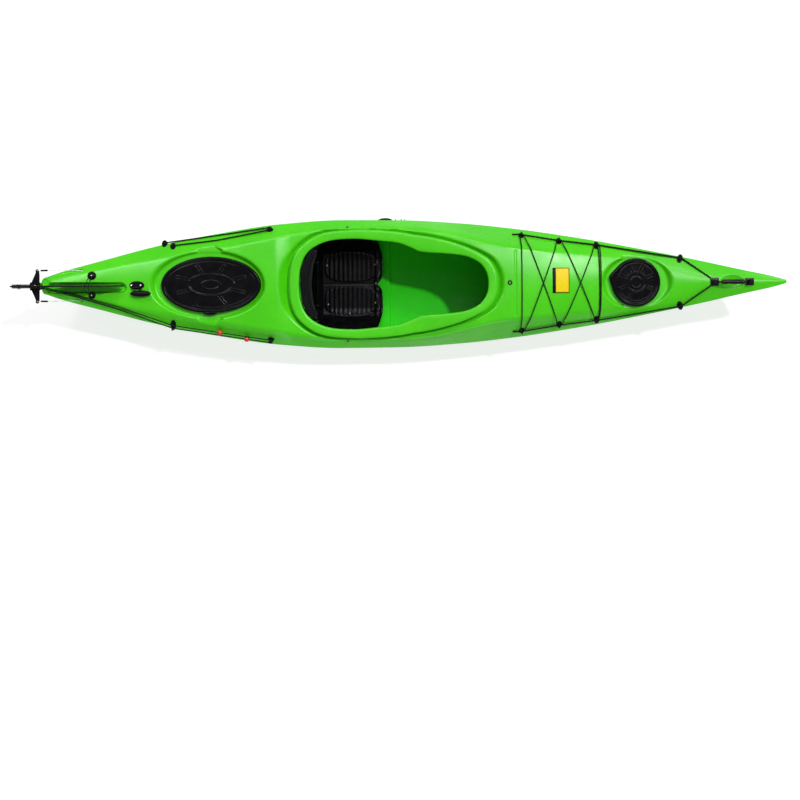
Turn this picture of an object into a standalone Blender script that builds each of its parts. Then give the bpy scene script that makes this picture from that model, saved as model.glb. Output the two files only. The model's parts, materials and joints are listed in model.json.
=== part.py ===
"""Sit-in touring kayak with a flip-up rudder: hull, hatches, seat, foot braces, rudder gear and deck rigging.

Metres. +X points to the bow, +Y to port and +Z up. The origin lies on the keel at midships.
"""

import math

import bmesh
import bpy
from mathutils import Matrix, Vector

# Hull
HULL_LENGTH = 3.73
HULL_BEAM = 0.66
HULL_DEPTH = 0.36
WALL = 0.005
GAP = 0.0003
HALF_LENGTH = HULL_LENGTH / 2
HALF_BEAM = HULL_BEAM / 2

# Heights on the deck are drawn on a hull 0.36 deep, and they rise and fall with the hull's own depth
DEEP = HULL_DEPTH / 0.36


def at_depth(*points):
    """Points that end in a height drawn on the hull, moved to the hull's own depth."""
    return tuple((*point[:-1], point[-1] * DEEP) for point in points)


# Lines of the hull: each point is a share of the half length, from stern to bow, and a share of the
# half beam, of the depth or of the local half breadth at the sheer
SHEER_HALF = (
    (-1.0, 0.124), (-0.954, 0.214), (-0.847, 0.383), (-0.686, 0.624), (-0.525, 0.806), (-0.365, 0.94),
    (-0.198, 1.0), (-0.0375, 0.994), (0.129, 0.94), (0.295, 0.838), (0.461, 0.69), (0.622, 0.515),
    (0.78, 0.329), (0.885, 0.19), (0.965, 0.085), (1.0, 0.024),
)
SHEER_Z = (
    (-1.0, 0.772), (-0.91, 0.73), (-0.76, 0.667), (-0.52, 0.589), (-0.375, 0.564), (-0.16, 0.542),
    (0.054, 0.531), (0.19, 0.533), (0.3, 0.55), (0.375, 0.572), (0.525, 0.656), (0.676, 0.731),
    (0.83, 0.803), (0.981, 0.925), (1.0, 0.933),
)
KEEL_Z = (
    (-1.0, 0.717), (-0.965, 0.39), (-0.949, 0.228), (-0.922, 0.13), (-0.86, 0.105), (-0.64, 0.06),
    (-0.43, 0.017), (-0.24, 0.004), (-0.13, 0.0), (0.247, 0.0), (0.33, 0.005), (0.48, 0.014), (0.7, 0.044),
    (0.8, 0.067), (0.853, 0.142),
    (0.895, 0.272), (0.938, 0.511), (0.981, 0.78), (1.0, 0.906),
)
FLAT_SHARE = (
    (-1.0, 0.1), (-0.92, 0.06), (-0.75, 0.16), (-0.5, 0.28), (-0.2, 0.32), (0.2, 0.32), (0.5, 0.26),
    (0.7, 0.16), (0.8, 0.1), (1.0, 0.12),
)
BILGE_SHARE = ((-1.0, 0.34), (-0.75, 0.5), (-0.4, 0.62), (0.3, 0.62), (0.6, 0.48), (0.8, 0.3), (1.0, 0.3))
BILGE_RISE = ((-1.0, 0.3), (0.0, 0.28), (1.0, 0.34))
CHINE_SHARE = (
    (-1.0, 0.62), (-0.93, 0.66), (-0.83, 0.78), (-0.62, 0.84), (-0.3, 0.87), (0.2, 0.87), (0.5, 0.82),
    (0.7, 0.72), (0.85, 0.58), (1.0, 0.5),
)
CHINE_Z = (
    (-1.0, 0.735), (-0.954, 0.47), (-0.92, 0.355), (-0.62, 0.272), (-0.32, 0.233), (0.0, 0.245),
    (0.27, 0.261), (0.54, 0.311), (0.75, 0.37), (0.86, 0.45), (0.94, 0.63), (1.0, 0.915),
)
KNUCKLE_SHARE = (
    (-1.0, 0.73), (-0.83, 0.65), (-0.62, 0.67), (-0.41, 0.75), (-0.24, 0.84), (-0.05, 0.86), (0.054, 0.84),
    (0.134, 0.76), (0.225, 0.66), (0.32, 0.64), (0.43, 0.66), (0.536, 0.65), (0.644, 0.58), (0.75, 0.52),
    (0.86, 0.47), (1.0, 0.5),
)
KNUCKLE_Z = (
    (-1.0, 0.822), (-0.83, 0.797), (-0.62, 0.769), (-0.41, 0.772), (-0.375, 0.767), (-0.33, 0.722),
    (-0.18, 0.717), (-0.08, 0.744), (0.02, 0.797), (0.107, 0.878), (0.19, 0.944), (0.247, 0.967),
    (0.33, 0.914), (0.4, 0.842), (0.536, 0.797), (0.644, 0.8), (0.75, 0.836), (0.86, 0.881), (1.0, 0.935),
)
RIDGE_Z = (
    (-1.0, 0.856), (-0.965, 0.853), (-0.78, 0.814), (-0.41, 0.806), (-0.37, 0.797), (-0.33, 0.725),
    (-0.24, 0.717), (0.0, 0.83), (0.107, 0.917), (0.19, 0.978), (0.247, 0.992), (0.28, 0.986),
    (0.33, 0.953), (0.424, 0.897), (0.504, 0.85), (0.66, 0.833), (0.8, 0.894), (0.906, 0.925), (1.0, 0.942),
)
STATIONS = (
    -1.0, -0.965, -0.949, -0.935, -0.915, -0.87, -0.77, -0.66, -0.55, -0.44, -0.38, -0.33, -0.24, -0.13,
    -0.03, 0.07, 0.15, 0.2, 0.247, 0.28, 0.33, 0.4, 0.5, 0.6, 0.7, 0.78, 0.84, 0.88, 0.92, 0.96, 1.0,
)
INNER_STATIONS = (
    -0.93, -0.87, -0.77, -0.66, -0.55, -0.44, -0.38, -0.33, -0.24, -0.13, -0.03, 0.07, 0.15, 0.2, 0.247,
    0.28, 0.33, 0.4, 0.5, 0.6, 0.7, 0.78, 0.84, 0.87,
)
SIDE_BULGE = 0.004
KEEL_PANEL_HALF = 0.085
CAMBER_SHARES = (0.7, 0.35)

# The one-piece shell is kept as four lengths, so that collision can follow its walls
LENGTHS = (
    ("hull_stern", -1.92, -0.7), ("hull_cockpit", -0.7, 0.485),
    ("hull_fore", 0.485, 0.9), ("hull_bow", 0.9, 1.92),
)

# Cockpit: the opening and the outer edge of its rim on the port side, from aft to forward
OPENING_EDGE = (
    (-0.574, 0.0), (-0.563, 0.095), (-0.52, 0.17), (-0.43, 0.217), (-0.299, 0.2285), (-0.175, 0.218),
    (-0.075, 0.206), (-0.005, 0.18), (0.045, 0.16), (0.175, 0.149), (0.27, 0.134), (0.335, 0.1),
    (0.367, 0.052), (0.375, 0.0),
)
RIM_EDGE = (
    (-0.624, 0.0), (-0.61, 0.115), (-0.56, 0.195), (-0.46, 0.255), (-0.31, 0.272), (-0.18, 0.2695),
    (-0.07, 0.259), (0.005, 0.246), (0.08, 0.234), (0.19, 0.207), (0.29, 0.17), (0.372, 0.122),
    (0.41, 0.062), (0.42, 0.0),
)
RIM_Z = at_depth(
    (-0.64, 0.275), (-0.5, 0.279), (-0.34, 0.285), (-0.15, 0.297), (0.04, 0.316), (0.2, 0.346),
    (0.35, 0.365), (0.43, 0.369),
)
RIM_STEPS = 2
RIM_LIP = 0.018
RIM_INNER_DROP = 0.016
RIM_EDGE_DROP = 0.008
WELL_DEPTH = 0.038
WELL_FLOOR_OUT = 0.004
WELL_SLOPE_OUT = 0.026

# Stern hatch
STERN_HATCH_X = -1.018
STERN_HATCH_HALF_LENGTH = 0.252
STERN_HATCH_HALF_WIDTH = 0.143
STERN_SEAT_SHIFT = -0.015
STERN_SEAT_ROOM = (0.031, 0.033)
STERN_RECESS_X = STERN_HATCH_X + STERN_SEAT_SHIFT
STERN_RECESS_HALF_LENGTH = STERN_HATCH_HALF_LENGTH + STERN_SEAT_ROOM[0]
STERN_RECESS_HALF_WIDTH = STERN_HATCH_HALF_WIDTH + STERN_SEAT_ROOM[1]
STERN_FLOOR_Z = 0.262 * DEEP

# Bow hatch
BOW_HATCH_X = 1.124
BOW_HATCH_RADIUS = 0.122
BOW_SEAT_SHIFT = 0.004
BOW_SEAT_ROOM = (0.048, 0.02)
BOW_RECESS_X = BOW_HATCH_X + BOW_SEAT_SHIFT
BOW_RECESS_HALF_LENGTH = BOW_HATCH_RADIUS + BOW_SEAT_ROOM[0]
BOW_RECESS_HALF_WIDTH = BOW_HATCH_RADIUS + BOW_SEAT_ROOM[1]
BOW_FLOOR_Z = 0.274 * DEEP

# Finger recess under the bow handle: half length, half width and height of each level
SCOOP_X = 1.596
SCOOP_LEVELS = at_depth((0.042, 0.022, 0.307), (0.058, 0.037, 0.312), (0.067, 0.049, 0.338))

# Both hatches
HATCH_SEGMENTS = 28
RECESS_SLOPE = 0.014
RIM_INSET = 0.022
HATCH_RIM_HEIGHT = 0.012
HATCH_RIM_WALL = 0.006
COVER_HEIGHT = 0.024
COVER_WALL = 0.0045
COVER_SKIRT = 0.007
DRAIN_WIDTH = 0.045


# Rudder: the blade lies forward in its channel on the stern deck
BLADE_Y = -0.002
BLADE_THICK = 0.008
PIVOT = (-1.954, BLADE_Y, 0.363 * DEEP)
BLADE_HEAD_RADIUS = 0.043
BLADE_HEAD_ARC = (80, 325)
BLADE_OUTLINE = at_depth(
    (-1.893, 0.3385), (-1.862, 0.341), (-1.813, 0.328), (-1.788, 0.304), (-1.755, 0.285), (-1.6, 0.282),
    (-1.5, 0.284), (-1.461, 0.294), (-1.449, 0.308), (-1.452, 0.322), (-1.528, 0.371), (-1.582, 0.381),
    (-1.75, 0.391),
)
BLADE_SLOT = at_depth((-1.828, 0.346), (-1.782, 0.362))
CHEEK_RADIUS = 0.034
CHEEK_THICK = 0.0057
BLOCK_LOW = (-1.917, BLADE_Y - 0.02, 0.289 * DEEP)
BLOCK_HIGH = (-1.874, BLADE_Y + 0.02, 0.3177 * DEEP)
YOKE_Z = (0.318 * DEEP, 0.324 * DEEP)
YOKE_HALF = (
    (-1.912, 0.0), (-1.909, 0.014), (-1.897, 0.04), (-1.885, 0.068), (-1.886, 0.082), (-1.877, 0.087),
    (-1.869, 0.08), (-1.867, 0.06), (-1.867, 0.0),
)
YOKE_HOLE = (-1.878, 0.078)
PIN_X = -1.885
PIN_RADIUS = 0.004
LUG_LOW = (-1.905, -0.02, 0.25 * DEEP)
LUG_HIGH = (-1.85, 0.016, 0.2885 * DEEP)
CHANNEL = ((-1.835, -1.447), (-0.032, 0.009), 0.272 * DEEP)
CHANNEL_TOP = ((-1.84, -1.44), (-0.042, 0.016), 0.33 * DEEP)
TROUGH = at_depth((-1.885, 0.05, 0.297), (-1.664, 0.0765, 0.279))
TROUGH_RADIUS = 0.0085
PAD_CENTRE = (-1.844, 0.02)
PAD_RADIUS = 0.023

# Cords and cables
CABLE_RADIUS = 0.0014
LIFT_CORD_RADIUS = 0.0024
LINE_RADIUS = 0.0025
LACING_RADIUS = 0.002
CORD_SAG = 0.0004
BALL_RADIUS = 0.0138
CABLE_PATH = at_depth(
    (-1.878, 0.078, 0.312), (-1.878, 0.078, 0.3252), (-1.8765, 0.0779, 0.3265), (-1.868, 0.0773, 0.3262),
    (-1.861, 0.0765, 0.3235), (-1.826, 0.0775, 0.3165), (-1.77, 0.0776, 0.3005), (-1.7, 0.0768, 0.281),
    (-1.62, 0.0745, 0.254), (-1.4, 0.105, 0.225), (-1.2, 0.155, 0.2), (-1.0, 0.195, 0.185),
    (-0.74, 0.23, 0.176), (-0.66, 0.238, 0.173), (-0.5, 0.258, 0.165), (-0.2, 0.268, 0.155),
    (0.05, 0.262, 0.148), (0.27, 0.252, 0.141),
)

# Foot braces
RAIL_X = (0.34, 0.81)
RAIL_Z = 0.14 * DEEP
RAIL_BOLTS = (0.384, 0.572, 0.765)
RAIL_STAND_OFF = 0.027
RAIL_THICK = 0.014
RAIL_HEIGHT = 0.032
RAIL_GROOVE = (0.007, 0.012)
PEDAL_X = 0.575

# Seat and backrest
SEAT_X = (-0.498, -0.16)
SEAT_HALF_WIDTH = 0.172
SEAT_Z = 0.046
SEAT_WALL = 0.005
RIB_PITCH = 0.0245
RIB_START = -0.46
RIB_COUNT = 11
RIB_HEIGHT = 0.006
HANGER_X = (-0.36, -0.3)
HANGER_PATH = ((0.1785, 0.062), (0.19, 0.075), (0.235, 0.15 * DEEP), (0.252, 0.2 * DEEP))
HANGER_BOLT_Y = 0.288
HANGER_THICK = 0.003
PANEL_X = (-0.462, -0.185)
PANEL_PATH = ((0.184, 0.068), (0.19, 0.075), (0.235, 0.15 * DEEP), (0.243, 0.172 * DEEP))
BACKREST_HINGE = (-0.535, 0.0, 0.104)
BACKREST_AFT = ((0.0, -0.568), (0.095, -0.556), (0.14, -0.537), (0.178, -0.508))

# Deck fittings
PAD_EYES = ((0.55, 0.24), (0.74, 0.21), (0.93, 0.187), (1.347, 0.118))
EYE_SPAN = 0.0125
EYE_HEIGHT = 0.0175
EYE_WIRE = 0.0025
FOOT_THICK = 0.004
LINE_IN_EYE = 0.0069
LACING_IN_EYE = 0.0119
HANDLE_X = (1.509, 1.681)
HANDLE_AXIS_UP = 0.0125


# Curves and outlines


def line_through(table):
    """A monotone cubic through the points of a table, so that a line never overshoots."""
    xs = [x for x, _ in table]
    ys = [y for _, y in table]
    steps = [xs[i + 1] - xs[i] for i in range(len(xs) - 1)]
    slopes = [(ys[i + 1] - ys[i]) / steps[i] for i in range(len(steps))]
    tangents = [slopes[0]]
    for i in range(1, len(slopes)):
        before, after = slopes[i - 1], slopes[i]
        if before * after <= 0:
            tangents.append(0.0)
        else:
            w_before = 2 * steps[i] + steps[i - 1]
            w_after = steps[i] + 2 * steps[i - 1]
            tangents.append((w_before + w_after) / (w_before / before + w_after / after))
    tangents.append(slopes[-1])

    def value(x):
        x = min(max(x, xs[0]), xs[-1])
        i = max(j for j in range(len(steps)) if xs[j] <= x or j == 0)
        t = (x - xs[i]) / steps[i]
        h00 = (1 + 2 * t) * (1 - t) ** 2
        h10 = t * (1 - t) ** 2
        h01 = t * t * (3 - 2 * t)
        h11 = t * t * (t - 1)
        return h00 * ys[i] + h10 * steps[i] * tangents[i] + h01 * ys[i + 1] + h11 * steps[i] * tangents[i + 1]

    return value


def smooth_path(points, steps):
    """A Catmull-Rom curve through the points, with this many steps in each span."""
    points = [Vector(p) for p in points]
    ends = [2 * points[0] - points[1], *points, 2 * points[-1] - points[-2]]
    path = []
    for before, a, b, after in zip(ends, ends[1:], ends[2:], ends[3:]):
        for k in range(steps):
            t = k / steps
            path.append(
                0.5 * (2 * a + (b - before) * t + (2 * before - 5 * a + 4 * b - after) * t**2
                       + (3 * a - before - 3 * b + after) * t**3)
            )
    path.append(points[-1])
    return path


def mirrored_loop(port_half, steps):
    """A closed loop from its port half, which runs from the aft to the forward centre point."""
    first, last = port_half[1], port_half[-2]
    ghost = [(first[0], -first[1]), *port_half, (last[0], -last[1])]
    path = smooth_path([(x, y, 0.0) for x, y in ghost], steps)
    half = [(p.x, p.y) for p in path[steps:-steps]]
    half[0], half[-1] = (half[0][0], 0.0), (half[-1][0], 0.0)
    return half + [(x, -y) for x, y in reversed(half[1:-1])]


def grown_loop(loop, distance):
    """A closed plan outline moved outwards by a distance, along its normals."""
    count = len(loop)
    pairs = zip(loop, [*loop[1:], loop[0]])
    area = sum(this[0] * after[1] - after[0] * this[1] for this, after in pairs)
    turn = 1.0 if area > 0 else -1.0
    grown = []
    for i, (x, y) in enumerate(loop):
        ahead, behind = loop[(i + 1) % count], loop[i - 1]
        along = Vector((ahead[0] - behind[0], ahead[1] - behind[1])).normalized()
        grown.append((x + turn * along.y * distance, y - turn * along.x * distance))
    return grown


def oval(half_length, half_width, segments, centre=(0.0, 0.0)):
    """An ellipse in plan."""
    angles = [2 * math.pi * k / segments for k in range(segments)]
    return [(centre[0] + half_length * math.cos(a), centre[1] + half_width * math.sin(a)) for a in angles]


sheer_half_at = line_through(SHEER_HALF)
sheer_z_at = line_through(SHEER_Z)
keel_z_at = line_through(KEEL_Z)
flat_share_at = line_through(FLAT_SHARE)
bilge_share_at = line_through(BILGE_SHARE)
bilge_rise_at = line_through(BILGE_RISE)
chine_share_at = line_through(CHINE_SHARE)
chine_z_at = line_through(CHINE_Z)
knuckle_share_at = line_through(KNUCKLE_SHARE)
knuckle_z_at = line_through(KNUCKLE_Z)
ridge_z_at = line_through(RIDGE_Z)
rim_z_at = line_through(RIM_Z)


def half_section(x):
    """The port half of the hull's section at x, as (y, z) from the keel up to the deck's ridge."""
    s = x / HALF_LENGTH
    sheer = sheer_half_at(s) * HALF_BEAM
    sheer_z = sheer_z_at(s) * HULL_DEPTH
    keel_z = keel_z_at(s) * HULL_DEPTH
    chine = chine_share_at(s) * sheer
    chine_z = max(chine_z_at(s) * HULL_DEPTH, keel_z + 0.1 * (sheer_z - keel_z))
    knuckle = knuckle_share_at(s) * sheer
    knuckle_z = knuckle_z_at(s) * HULL_DEPTH
    ridge_z = ridge_z_at(s) * HULL_DEPTH
    bulge = SIDE_BULGE * sheer / HALF_BEAM
    points = [
        (0.0, keel_z),
        (min(flat_share_at(s) * sheer, KEEL_PANEL_HALF), keel_z),
        (bilge_share_at(s) * sheer, keel_z + bilge_rise_at(s) * (chine_z - keel_z)),
        (chine, chine_z),
        ((chine + sheer) / 2 + bulge, (chine_z + sheer_z) / 2),
        (sheer, sheer_z),
        (knuckle, knuckle_z),
    ]
    points += [(share * knuckle, ridge_z - (ridge_z - knuckle_z) * share**2) for share in CAMBER_SHARES]
    return [*points, (0.0, ridge_z)]


def deck_z(x, y):
    """The height of the bare deck over a plan point."""
    section = half_section(x)
    y = abs(y)
    for (outer, outer_z), (inner, inner_z) in zip(section[5:], section[6:]):
        if y >= inner:
            return inner_z + (outer_z - inner_z) * (y - inner) / (outer - inner)
    return section[-1][1]


def deck_normal(x, y):
    """The deck's outward normal over a plan point."""
    step = 0.004
    along = Vector((2 * step, 0.0, deck_z(x + step, y) - deck_z(x - step, y)))
    across = Vector((0.0, 2 * step, deck_z(x, y + step) - deck_z(x, y - step)))
    return along.cross(across).normalized()


def section_ring(x, offset):
    """The whole section at x, moved outwards by an offset, as 3-D points."""
    port = half_section(x)
    ring = port + [(-y, z) for y, z in reversed(port[1:-1])]
    count = len(ring)
    moved = []
    for i, (y, z) in enumerate(ring):
        before = (Vector((y, z)) - Vector(ring[i - 1])).normalized()
        after = (Vector(ring[(i + 1) % count]) - Vector((y, z))).normalized()
        normal = Vector((before.y + after.y, -(before.x + after.x))).normalized()
        mitre = min(1 / max(normal.dot(Vector((before.y, -before.x))), 0.2), 2.5)
        moved.append(Vector((x, y + normal.x * offset * mitre, z + normal.y * offset * mitre)))
    return moved


# Objects


def collection(name):
    made = bpy.data.collections.new(name)
    bpy.context.scene.collection.children.link(made)
    return made


for old in list(bpy.data.objects):
    bpy.data.objects.remove(old, do_unlink=True)
KAYAK = collection("kayak")
CUTTERS = collection("cutters")


def material(name, colour, roughness, metallic=0.0):
    made = bpy.data.materials.new(name)
    made.use_nodes = True
    shader = made.node_tree.nodes["Principled BSDF"]
    shader.inputs["Base Color"].default_value = (*colour, 1.0)
    shader.inputs["Roughness"].default_value = roughness
    shader.inputs["Metallic"].default_value = metallic
    return made


GREEN = material("green_polyethylene", (0.09, 0.60, 0.03), 0.35)
BLACK = material("black_plastic", (0.012, 0.012, 0.014), 0.4)
RUBBER = material("black_rubber", (0.01, 0.01, 0.012), 0.3)
CORD = material("black_cord", (0.015, 0.018, 0.015), 0.8)
FOAM = material("grey_foam", (0.05, 0.05, 0.05), 0.9)
STEEL = material("stainless_steel", (0.55, 0.55, 0.56), 0.3, 1.0)
RED = material("red_ball_plastic", (0.62, 0.03, 0.02), 0.3)
FABRIC = material("black_fabric", (0.012, 0.012, 0.013), 0.85)


def add(name, mesh, finish):
    """A part of the kayak."""
    made = bpy.data.objects.new(name, mesh)
    KAYAK.objects.link(made)
    if finish.name not in [m.name for m in mesh.materials if m]:
        mesh.materials.append(finish)
    return made


def as_cutter(made):
    """Turns an object into a hidden guide that cuts or joins another."""
    for owner in list(made.users_collection):
        owner.objects.unlink(made)
    CUTTERS.objects.link(made)
    made.hide_render = True
    made.display_type = "WIRE"
    return made


def mesh_of(bm, name):
    bmesh.ops.recalc_face_normals(bm, faces=bm.faces)
    mesh = bpy.data.meshes.new(name)
    bm.to_mesh(mesh)
    bm.free()
    return mesh


def lofted(name, rings, finish, ladder_caps=False):
    """A closed body through rings of equally many points; ladder caps suit loops that mirror across y = 0."""
    bm = bmesh.new()
    rows = [[bm.verts.new(p) for p in ring] for ring in rings]
    count = len(rows[0])
    for lower, upper in zip(rows, rows[1:]):
        for i in range(count):
            a, b, c, d = lower[i], lower[(i + 1) % count], upper[(i + 1) % count], upper[i]
            halves = ((a, b, c), (a, c, d)) if 2 * i < count else ((a, b, d), (b, c, d))
            for half in halves:
                bm.faces.new(half)
    for row in (rows[0], rows[-1]):
        if ladder_caps:
            for i in range(count // 2):
                rung = [row[i], row[i + 1], row[-i - 1], row[-i]]
                bm.faces.new(list(dict.fromkeys(rung)))
        else:
            bm.faces.new(row)
    return add(name, mesh_of(bm, name), finish)


def boolean(target, other, operation):
    """Cuts with another object or joins it on."""
    modifier = target.modifiers.new(f"{operation.lower()}_{other.name}", "BOOLEAN")
    modifier.operation = operation
    modifier.object = other
    return target


def cut(target, *others):
    for other in others:
        boolean(target, other, "DIFFERENCE")
    return target


def join(target, *others):
    for other in others:
        boolean(target, other, "UNION")
    return target


def plan_loft(name, levels, finish=GREEN):
    """A body through plan outlines, each at one height."""
    return lofted(name, [[(x, y, z) for x, y in outline] for outline, z in levels], finish)


def box(name, low, high, finish):
    bm = bmesh.new()
    bmesh.ops.create_cube(bm, size=1.0)
    size = Vector(high) - Vector(low)
    bmesh.ops.scale(bm, vec=size, verts=bm.verts)
    bmesh.ops.translate(bm, vec=(Vector(high) + Vector(low)) / 2, verts=bm.verts)
    return add(name, mesh_of(bm, name), finish)


def rod(name, start, end, radius, finish, segments=12, end_radius=None):
    """A straight round bar between two points, or a taper where the end's radius is given."""
    start, end = Vector(start), Vector(end)
    bm = bmesh.new()
    bmesh.ops.create_cone(
        bm, cap_ends=True, segments=segments, radius1=radius,
        radius2=radius if end_radius is None else end_radius, depth=(end - start).length,
    )
    turn = Vector((0, 0, 1)).rotation_difference(end - start).to_matrix().to_4x4()
    bmesh.ops.transform(bm, matrix=Matrix.Translation((start + end) / 2) @ turn, verts=bm.verts)
    return add(name, mesh_of(bm, name), finish)


def tube(name, points, radius, finish, resolution=1):
    """A round cord, wire or bar along a path, left as a curve."""
    data = bpy.data.curves.new(name, "CURVE")
    data.dimensions = "3D"
    spline = data.splines.new("POLY")
    spline.points.add(len(points) - 1)
    for point, place in zip(spline.points, points):
        point.co = (*place, 1.0)
    data.bevel_depth = radius
    data.bevel_resolution = resolution
    data.use_fill_caps = True
    data.materials.append(finish)
    made = bpy.data.objects.new(name, data)
    KAYAK.objects.link(made)
    return made


def mesh_from_curve(curve, name=None):
    """A curve object as a welded mesh object, which can be cut and joined."""
    bpy.context.view_layer.update()
    mesh = bpy.data.meshes.new_from_object(curve.evaluated_get(bpy.context.evaluated_depsgraph_get()))
    bm = bmesh.new()
    bm.from_mesh(mesh)
    bmesh.ops.remove_doubles(bm, verts=bm.verts, dist=1e-6)
    bm.to_mesh(mesh)
    bm.free()
    made = bpy.data.objects.new(name or curve.name + "_solid", mesh)
    made.matrix_world = curve.matrix_world
    KAYAK.objects.link(made)
    bpy.data.objects.remove(curve, do_unlink=True)
    if name:
        made.name = name
    return made


# Hull

OPENING_LOOP = mirrored_loop(OPENING_EDGE, RIM_STEPS)
RIM_LOOP = mirrored_loop(RIM_EDGE, RIM_STEPS)
STERN_DRAIN_X = -1.028
BOW_DRAIN_X = 1.116
SIDES = (("port", 1), ("starboard", -1))


def hull_skin(name, offset, shares):
    return lofted(name, [section_ring(s * HALF_LENGTH, offset) for s in shares], GREEN)


def at_rim(loop, drop):
    return [(x, y, rim_z_at(x) - drop) for x, y in loop]


def at_height(loop, z):
    return [(x, y, z) for x, y in loop]


def ring_body(name, profile, finish):
    """A closed ring: each loop of the profile is joined to the next, and the last to the first."""
    bm = bmesh.new()
    rows = [[bm.verts.new(p) for p in loop] for loop in profile]
    count = len(rows[0])
    for k, row in enumerate(rows):
        after = rows[(k + 1) % len(rows)]
        for i in range(count):
            bm.faces.new((row[i], row[(i + 1) % count], after[(i + 1) % count], after[i]))
    return add(name, mesh_of(bm, name), finish)


def cockpit_well(name, grow):
    """The valley round the coaming; grow widens and deepens it for the underside of the deck."""
    floor = grown_loop(RIM_LOOP, WELL_FLOOR_OUT + grow)
    edge = grown_loop(RIM_LOOP, WELL_SLOPE_OUT + WELL_FLOOR_OUT + grow)
    rings = [at_rim(floor, WELL_DEPTH + grow), at_rim(edge, 0.002), at_rim(edge, -0.05)]
    return as_cutter(lofted(name, rings, GREEN, ladder_caps=True))


def hatch_recess(name, centre_x, half_length, half_width, floor_z, grow):
    """A dished seat with sloping sides for a hatch cover."""
    def ring(spread):
        return oval(half_length + spread + grow, half_width + spread + grow, HATCH_SEGMENTS, (centre_x, 0.0))

    levels = [(ring(-RECESS_SLOPE), floor_z - grow), (ring(0.0), floor_z + 0.02),
              (ring(0.006), floor_z + 0.08)]
    return as_cutter(plan_loft(name, levels))


def drains(name, x, half_width, floor_z, grow):
    """The two channels that lead water out of a hatch seat to the sides."""
    half = DRAIN_WIDTH / 2 + grow
    reach = half_width + 0.09
    corners = ((-1, -1), (1, -1), (1, 1), (-1, 1))
    low = [(x + 0.7 * half * a, reach * b) for a, b in corners]
    top = [(x + 1.3 * half * a, reach * b) for a, b in corners]
    return as_cutter(plan_loft(name, [(low, floor_z - grow), (top, floor_z + 0.06)]))


def hatch_rim(name, centre_x, half_length, half_width, floor_z):
    """The upstand that a hatch cover snaps over, and the hole inside it."""
    half_length -= RIM_INSET
    half_width -= RIM_INSET
    low, high = floor_z - WALL / 2, floor_z + HATCH_RIM_HEIGHT
    outer = oval(half_length, half_width, HATCH_SEGMENTS, (centre_x, 0.0))
    inner = oval(half_length - HATCH_RIM_WALL, half_width - HATCH_RIM_WALL, HATCH_SEGMENTS, (centre_x, 0.0))
    half_wall = HATCH_RIM_WALL / 2
    middle = oval(half_length - half_wall, half_width - half_wall, HATCH_SEGMENTS, (centre_x, 0.0))
    hole = as_cutter(plan_loft(f"{name}_hole", [(middle, floor_z - 0.03), (middle, floor_z + 0.06)]))
    ring = as_cutter(ring_body(f"{name}_ring", [at_height(outer, low), at_height(outer, high),
                                                at_height(inner, high), at_height(inner, low)], GREEN))
    return hole, ring


def finger_scoop(name, grow):
    """The dished recess under the bow handle."""
    levels = [(oval(a + grow, b + grow, 20, (SCOOP_X, 0.0)), z - grow) for a, b, z in SCOOP_LEVELS]
    return as_cutter(plan_loft(name, levels))


def recess_set(tag, grow):
    """Everything pressed into the deck: the valley, hatch seats, drains, channel and scoop."""
    (x0, x1), (y0, y1), low = CHANNEL
    (x2, x3), (y2, y3), high = CHANNEL_TOP
    floor = rounded_slot(x0 - grow, x1 + grow, y0 - grow, y1 + grow)
    top = rounded_slot(x2 - grow, x3 + grow, y2 - grow, y3 + grow)
    return (
        cockpit_well(f"well_{tag}", grow),
        hatch_recess(f"stern_recess_{tag}", STERN_RECESS_X, STERN_RECESS_HALF_LENGTH,
                     STERN_RECESS_HALF_WIDTH, STERN_FLOOR_Z, grow),
        hatch_recess(f"bow_recess_{tag}", BOW_RECESS_X, BOW_RECESS_HALF_LENGTH,
                     BOW_RECESS_HALF_WIDTH, BOW_FLOOR_Z, grow),
        drains(f"stern_drains_{tag}", STERN_DRAIN_X, STERN_RECESS_HALF_WIDTH, STERN_FLOOR_Z + 0.001, grow),
        drains(f"bow_drains_{tag}", BOW_DRAIN_X, BOW_RECESS_HALF_WIDTH, BOW_FLOOR_Z + 0.001, grow),
        as_cutter(plan_loft(f"channel_{tag}", [(floor, low - grow), (top, high)])),
        finger_scoop(f"finger_scoop_{tag}", grow),
    )


def rounded_slot(x0, x1, y0, y1):
    """A plan outline with a square aft end and a round forward end."""
    middle, half = (y0 + y1) / 2, (y1 - y0) / 2
    arc = [math.radians(a) for a in (-90, -60, -30, 0, 30, 60, 90)]
    return [(x0, y1), (x0, y0)] + [(x1 - half + half * math.cos(a), middle + half * math.sin(a)) for a in arc]


def drill(target, name, start, end, radius):
    """A round hole through a part."""
    cut(target, as_cutter(rod(name, start, end, radius, BLACK, 10)))


def build_hull():
    """The moulded shell with everything that is sunk into its deck, and its openings."""
    hull = as_cutter(hull_skin("shell", 0.0, STATIONS))
    cavity = as_cutter(hull_skin("cavity", -WALL, INNER_STATIONS))
    cut(hull, *recess_set("outer", 0.0))
    cut(cavity, *recess_set("inner", WALL))
    cut(hull, cavity)
    for side, y in SIDES:
        start, end = ((x, y * py, z) for x, py, z in TROUGH)
        cut(hull, as_cutter(rod(f"trough_{side}", start, end, TROUGH_RADIUS, GREEN)))
    lug = as_cutter(box("stern_lug", LUG_LOW, LUG_HIGH, GREEN))
    centre = (*PAD_CENTRE, deck_z(*PAD_CENTRE))
    pad = as_cutter(rod("stern_pad", (centre[0], centre[1], centre[2] - 0.012),
                        (centre[0], centre[1], centre[2] + 0.003), PAD_RADIUS, GREEN, 24))
    join(hull, lug, pad)
    drill(hull, "pin_hole", (PIN_X, BLADE_Y, LUG_LOW[2] - 0.05), (PIN_X, BLADE_Y, LUG_HIGH[2] + 0.0115),
          PIN_RADIUS + 0.0004)
    return hull


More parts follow.
